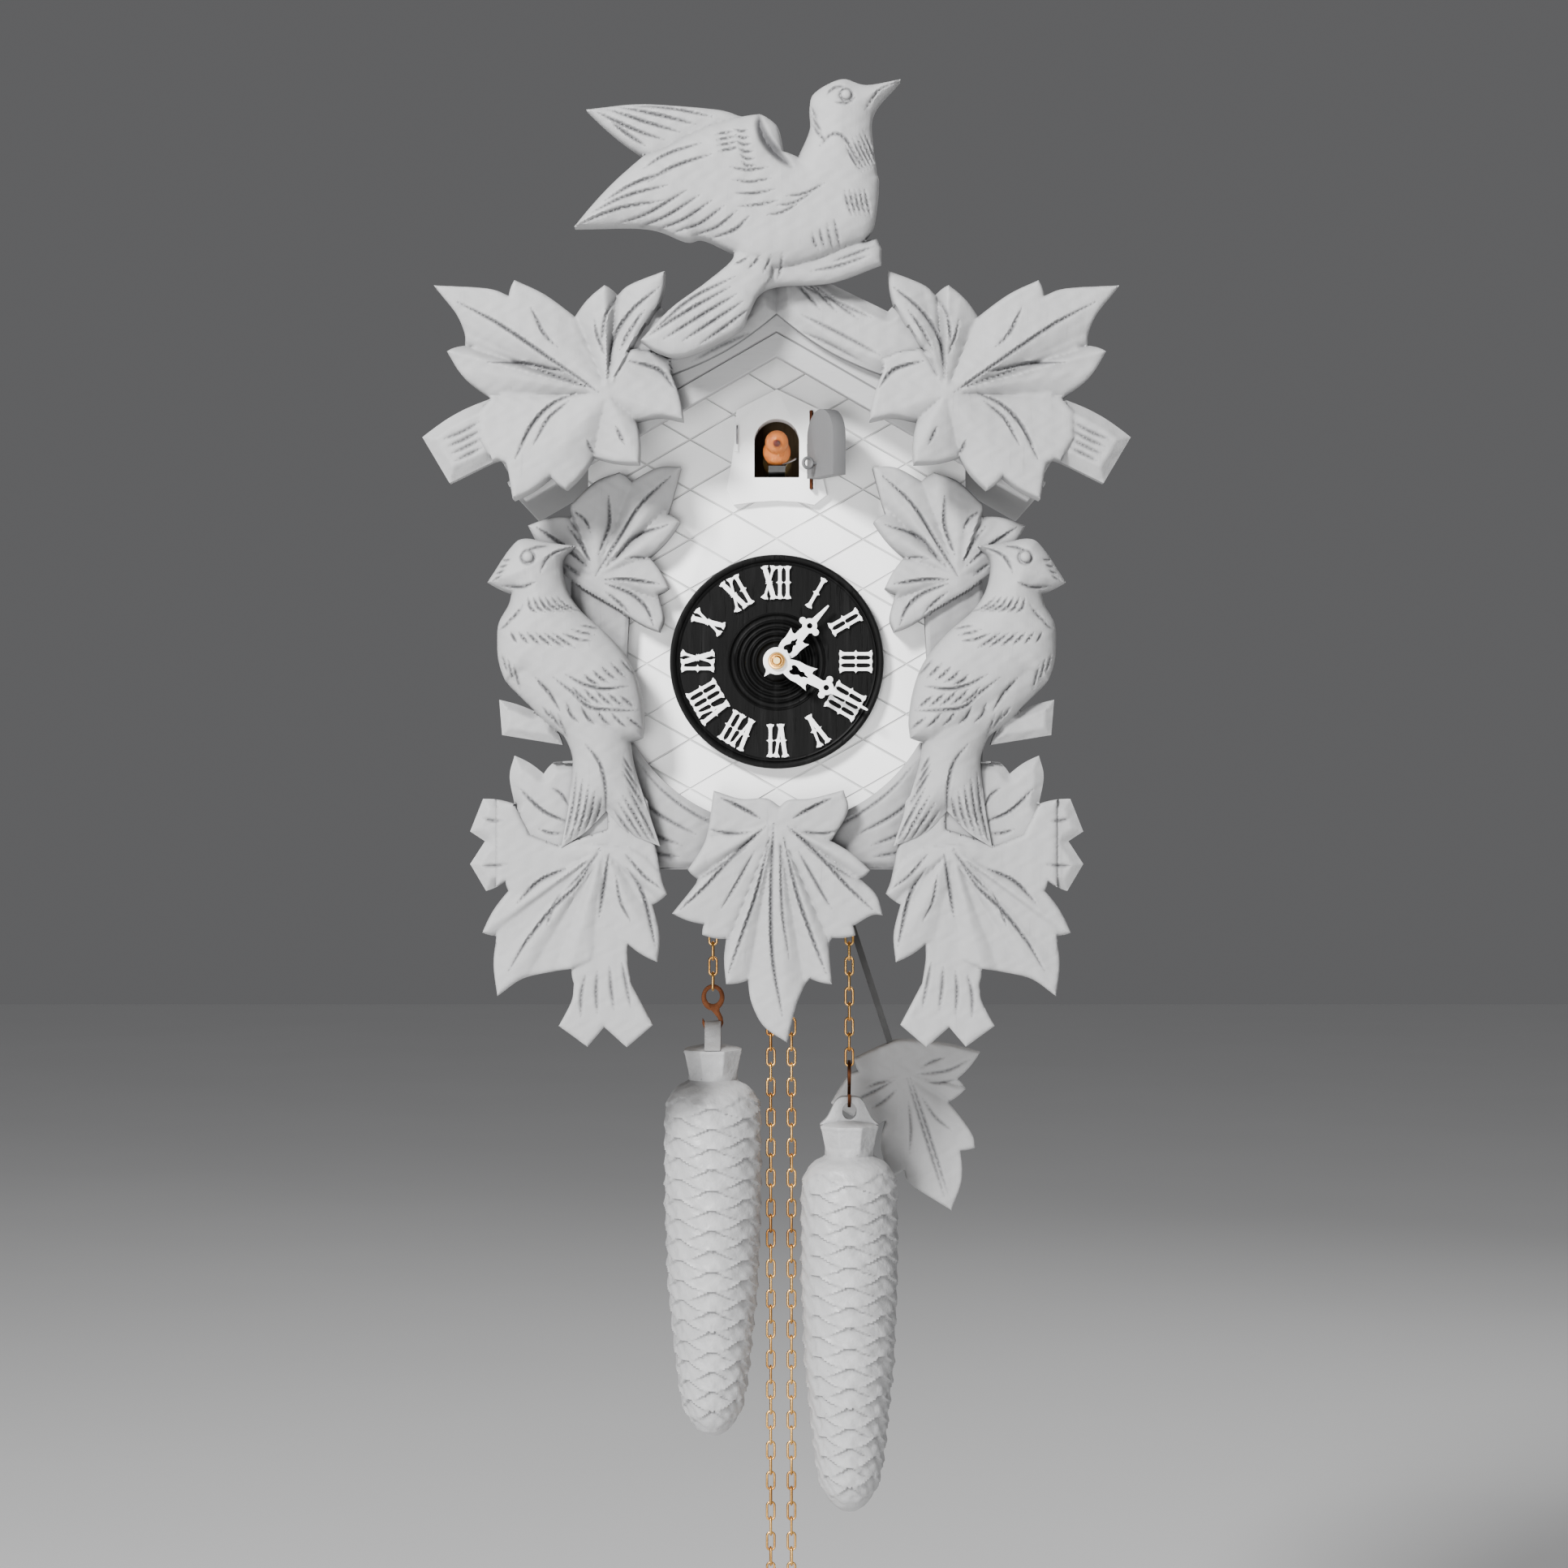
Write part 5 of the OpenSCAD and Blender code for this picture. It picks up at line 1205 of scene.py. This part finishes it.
def cone(side, across):
    node = "weight_" + side
    low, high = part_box(node)
    x, y = (low.x + high.x) / 2, (low.y + high.y) / 2
    eye = high.z * 1000 - 4.8
    full = (high.x - low.x) * 500 - 0.05
    drop = high.z * 1000 - low.z * 1000 - 4.8
    shape = np.array([(3.5, 0.0), (4.4, 0.32), (5.6, 0.62), (6.5, 0.635), (7.8, 0.605), (16.2, 0.505),
                      (17.2, 0.495),
                      (18, 0.55), (19.2, 0.69), (21.5, 0.83), (25, 0.95), (29, 1.0), (62, 1.0), (94, 0.93),
                      (111, 0.835), (123, 0.765), (131, 0.715), (137, 0.655), (141, 0.58), (144.5, 0.46),
                      (147.5, 0.32), (149.4, 0.16), (150, 0.0)])
    depth = np.concatenate([np.linspace(3.5, 19, 26), np.linspace(19, 150, 215)[1:]])
    around = 168
    theta = np.linspace(0, 2 * np.pi, around, endpoint=False)
    d, t = np.meshgrid(depth, theta, indexing="ij")
    radius = np.interp(d, shape[:, 0], shape[:, 1]) * (full - 0.1)
    facet = np.cos(np.pi / 8) / np.cos((t + np.pi / 8) % (np.pi / 4) - np.pi / 8)
    radius = np.where(d < 17, radius * (facet + (1 - facet) * np.clip((d - 14) / 3, 0, 1)), radius)
    # scales: eight columns, each a half step below its neighbours, every scale thickest at its lower edge
    s = t * 8 / (2 * np.pi)
    row_step = 7.5
    r = (d - 19) / row_step
    nearest = np.full(d.shape, 9.0)
    for column in range(-1, 10):
        off = np.abs((s - column + 4) % 8 - 4)
        edge = -0.62 * off**2 + 0.5 * (column % 2)
        gap = (edge - r) % 1.0
        nearest = np.where(off < 1.0, np.minimum(nearest, gap), nearest)
    scale = 1 - nearest
    rib = np.abs(nearest - 0.5) < 0.5
    band = np.clip((d - 20) / 6, 0, 1) * np.clip((148 - d) / 7, 0, 1)
    relief = (0.95 * scale**2.2 * rib - 0.95) * band
    seam = np.exp(-(((t - (0.35 if side == "left" else 3.6)) / 0.16) ** 2) ** 2)
    relief = relief * (1 - seam) - 0.5 * seam * band
    lumpy = 0.16 * np.sin(9.3 * t + 0.31 * d) * np.sin(0.57 * d + 2.1 * t) + 0.1 * np.sin(17 * t - 0.9 * d)
    radius = np.maximum(radius + relief + lumpy * band, 0)
    rows = len(depth)
    verts = np.stack([radius * np.cos(t), radius * np.sin(t), -d], -1).reshape(-1, 3)
    faces = [(j * around + i, (j + 1) * around + i, (j + 1) * around + (i + 1) % around,
              j * around + (i + 1) % around)
             for j in range(rows - 1) for i in range(around)]
    faces += [tuple(range(around)), tuple((rows - 1) * around + i for i in range(around))[::-1]]
    mesh = bpy.data.meshes.new(node + "_casting")
    mesh.from_pydata([((x * 1000 + a) * MM, (y * 1000 + b) * MM, (eye + c) * MM) for a, b, c in verts], [],
                     faces)
    # The hollows just under each scale's edge, kept for the painted shade of the iron's finish.
    mark = mesh.attributes.new("groove", "FLOAT", "POINT")
    deep = (np.clip(np.exp(-((1 - nearest) / 0.16) ** 2), 0, 1) * band * (1 - seam)).reshape(-1)
    mark.data.foreach_set("value", deep)
    mesh.polygons.foreach_set("use_smooth", [True] * len(mesh.polygons))
    mesh.set_sharp_from_angle(angle=0.75)
    fix = bmesh.new()
    fix.from_mesh(mesh)
    bmesh.ops.recalc_face_normals(fix, faces=fix.faces)
    fix.to_mesh(mesh)
    fix.free()
    mesh.materials.append(iron)
    body = bpy.data.objects.new(node + "_casting", mesh)
    bpy.context.scene.collection.objects.link(body)
    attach(body, node)
    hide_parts(node)
    flank = [(-10.9, -5.6), (10.9, -5.6), (8.4, -3.2), (6.6, 0.2), (5.2, 3.0), (3.2, 4.6), (0, 4.8),
             (-3.2, 4.6), (-5.2, 3.0),
             (-6.6, 0.2), (-8.4, -3.2)]
    hole = [(2.6 * np.sin(a), 3.1 * np.cos(a) - 0.6) for a in np.linspace(0, 2 * np.pi, 28, endpoint=False)]
    ear = cut_sheet(node + "_ear", [eased(flank, corner=60, bulge=0)], [hole], -0.003, 0.003, iron,
                    1.7, across,
                    (x, y, eye * MM))
    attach(ear, node)


cone("left", "YZ")
cone("right", "XZ")

# ---- Pendulum: a wooden leader with its leaf, standing to the right of plumb as in the middle of a swing ----
def timber():
    """Bare limewood, planed, with long pale grain."""
    finish = Finish("plain_wood", Specular_IOR_Level=0.3)
    long = finish.noise(38, 6, (6, 6, 0.5), 0.6)
    ringed = finish.noise(16, 2, (5, 5, 0.3)) * 14
    stripe = ringed.math("FRACT", ringed)
    pore = finish.noise(330, 3, (5, 5, 0.3))
    shade = finish.mix(long, (0.42, 0.27, 0.14), (0.60, 0.43, 0.25))
    shade = finish.mix(finish.steps(stripe, 0.7, 1.0) * 0.35, shade, (0.30, 0.18, 0.09))
    return finish.use(shade, 0.5 + 0.2 * long, long * 0.5 - finish.steps(pore, 0.6, 0.72) * 0.4, 0.0002)


wood = timber()
outline, back, thick = piece_of("pendulum_leaf")
outline = eased(outline, bulge=0.04)
hub = (48.5, -154.5)
layers = [Layer(outline, thick, 1.6, 1.0, hub=hub, fold=1.2, droop=0.6,
                tips=[(78, -148), (73, -162), (76, -184), (67, -208), (23, -167), (33, -151)],
                notches=[(71, -159), (67, -166), (43, -173), (48, -193), (33, -157)])]
veins = [[(49.5, -156), (55.5, -175), (63.7, -201)], [(50.8, -156), (57, -174.5), (65, -199.5)],
         [(53.7, -154.5), (64.6, -153.2), (73.3, -149)], [(44.5, -156.8), (36, -161.5), (28, -165.5)]]
gouges = [[(55, -151.8), (59.5, -149.5), (63.7, -148.1)], [(56.4, -157.3), (62, -157.8), (67.8, -156.8)],
          [(55.5, -163.7), (60, -170.5), (66.4, -176)], [(43.1, -156.8), (38.5, -157.8), (34, -159.6)],
          [(45.4, -160.5), (41, -164.5), (36.3, -167.3)], [(50, -165), (50.9, -175.1), (50.5, -184.7)]]
leaf = carve("pendulum_leaf_carving", outline, back, layers, cuts(veins, 0.7, 0.9) + cuts(gouges, 0.6, 0.8))
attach(leaf, "pendulum")
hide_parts("pendulum_leaf")


# ---- The cuckoo, painted orange, and the wire that opens its door ----
def blend_solids(nodes, name, voxel, finish, body):
    """CAD solids melted into one form and smoothed."""
    mesh = bpy.data.meshes.new(name)
    whole = bmesh.new()
    for node in nodes:
        whole.from_mesh(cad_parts[node].data)
    bmesh.ops.remove_doubles(whole, verts=whole.verts, dist=1e-5)
    whole.to_mesh(mesh)
    whole.free()
    piece = bpy.data.objects.new(name, mesh)
    bpy.context.scene.collection.objects.link(piece)
    melt = piece.modifiers.new("melt", "REMESH")
    melt.mode = "VOXEL"
    melt.voxel_size = voxel
    soft = piece.modifiers.new("soft", "SMOOTH")
    soft.iterations = 5
    soft.factor = 0.6
    done = bpy.data.meshes.new_from_object(piece.evaluated_get(bpy.context.evaluated_depsgraph_get()))
    piece.modifiers.clear()
    piece.data = done
    done.materials.clear()
    done.materials.append(finish)
    done.polygons.foreach_set("use_smooth", [True] * len(done.polygons))
    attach(piece, body)
    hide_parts(*nodes)
    return piece


def orange():
    """Thin orange paint with a darker throat and a red-brown bill."""
    finish = Finish("orange_paint", Specular_IOR_Level=0.4)
    place = finish.node("ShaderNodeSeparateXYZ", None, {0: finish.place})
    low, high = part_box("cuckoo_bird")
    forward = finish.steps(Num(finish, place.outputs[1]), low.y + 0.0065, low.y + 0.0055)
    cloud = finish.noise(210, 4)
    streak = finish.noise(420, 3, (2, 2, 0.5))
    shade = finish.mix(cloud, (0.42, 0.09, 0.012), (0.62, 0.20, 0.04))
    shade = finish.mix(finish.steps(streak, 0.56, 0.7) * 0.6, shade, (0.72, 0.36, 0.12))
    shade = finish.mix(forward, shade, (0.10, 0.008, 0.006))
    return finish.use(shade, 0.4 + 0.2 * cloud, cloud + streak * 0.6, 0.0004)


blend_solids(["cuckoo_bird"], "cuckoo_bird_carving", 0.00028, orange(), "cuckoo")


def wire(name, points, radius, finish, body):
    """A bent wire, as a closed tube with rounded ends."""
    path = stroke(points, 0.6) if len(points[0]) == 2 else np.array(points, float)
    curve = bpy.data.curves.new(name, "CURVE")
    curve.dimensions = "3D"
    curve.bevel_depth = radius
    curve.bevel_resolution = 4
    curve.use_fill_caps = True
    spline = curve.splines.new("BEZIER")
    spline.bezier_points.add(len(path) - 1)
    for knot, at in zip(spline.bezier_points, path):
        knot.co = at
        knot.handle_left_type = knot.handle_right_type = "AUTO"
    holder = bpy.data.objects.new(name, curve)
    bpy.context.scene.collection.objects.link(holder)
    mesh = bpy.data.meshes.new_from_object(holder.evaluated_get(bpy.context.evaluated_depsgraph_get()))
    bpy.data.objects.remove(holder)
    mesh.materials.clear()
    mesh.materials.append(finish)
    made = bpy.data.objects.new(name, mesh)
    bpy.context.scene.collection.objects.link(made)
    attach(made, body)
    return made


lever_low, lever_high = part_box("bird_lever")
start = Vector((0.0022, lever_low.y + 0.001, lever_high.z - 0.0012))
wire("door_wire", [start, start + Vector((0.0018, -0.003, 0.0003)),
                   start + Vector((0.0036, -0.0065, 0.0008)),
                   start + Vector((0.0046, -0.009, 0.0011))], 0.0003, steel, "cuckoo")

# ---- Catch: a small wire staple driven into the plaque beside the opening, which the shut door clips under ----
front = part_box("door_plaque")[0].y
knots = ((0.6, 84.6), (-0.7, 84.4), (-0.9, 81.5), (-0.7, 78.6), (0.6, 78.4))
wire("door_staple", [(-14.2 * MM, front + out * MM, axis_z + z * MM) for out, z in knots], 0.00035, steel,
     "case")


# ---- Everything else keeps its CAD shape: bare wood, brass works, black support, copper hinge wire ----
def ebony():
    finish = Finish("black_support", Specular_IOR_Level=0.4)
    cloud = finish.noise(160, 4)
    return finish.use(finish.mix(cloud, (0.012, 0.012, 0.012), (0.03, 0.03, 0.03)), 0.4 + 0.2 * cloud,
                      cloud, 0.0002)


for finish, nodes in ((wood, ("case_floor", "back_rail", "back_door", "bellows_boxes", "bellows_lid_left",
                             "bellows_lid_right", "turn_button")),
                      (brass_sheet, ("hanger_plate", "movement_front_plate", "movement_back_plate",
                                     "time_great_wheel",
                                     "strike_great_wheel", "centre_wheel", "third_wheel", "escape_wheel",
                                     "hour_wheel",
                                     "sprocket_left", "sprocket_right")),
                      (steel, ("plate_pillars", "anchor", "gong", "hammer", "fly")),
                      (copper, ("door_hinge_wire",)), (ebony(), ("bird_lever", "pendulum_leader"))):
    for node in nodes:
        mesh_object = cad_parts[node]
        if not mesh_object.material_slots:
            mesh_object.data.materials.append(finish)
        for slot in mesh_object.material_slots:
            slot.material = finish

# ---- The floor: pale, plain and well below the free rings ----
pale = Finish("pale_floor", Roughness=0.8)
pale_mesh = bpy.data.meshes.new("floor")
pale_mesh.from_pydata([(-6, -5, -0.62), (6, -5, -0.62), (6, 6, -0.62), (-6, 6, -0.62)], [], [(0, 1, 2, 3)])
pale_mesh.materials.append(pale.use(pale.mix(pale.noise(3), (0.62, 0.62, 0.62), (0.66, 0.66, 0.66))))
floor = bpy.data.objects.new("floor", pale_mesh)
bpy.context.scene.collection.objects.link(floor)
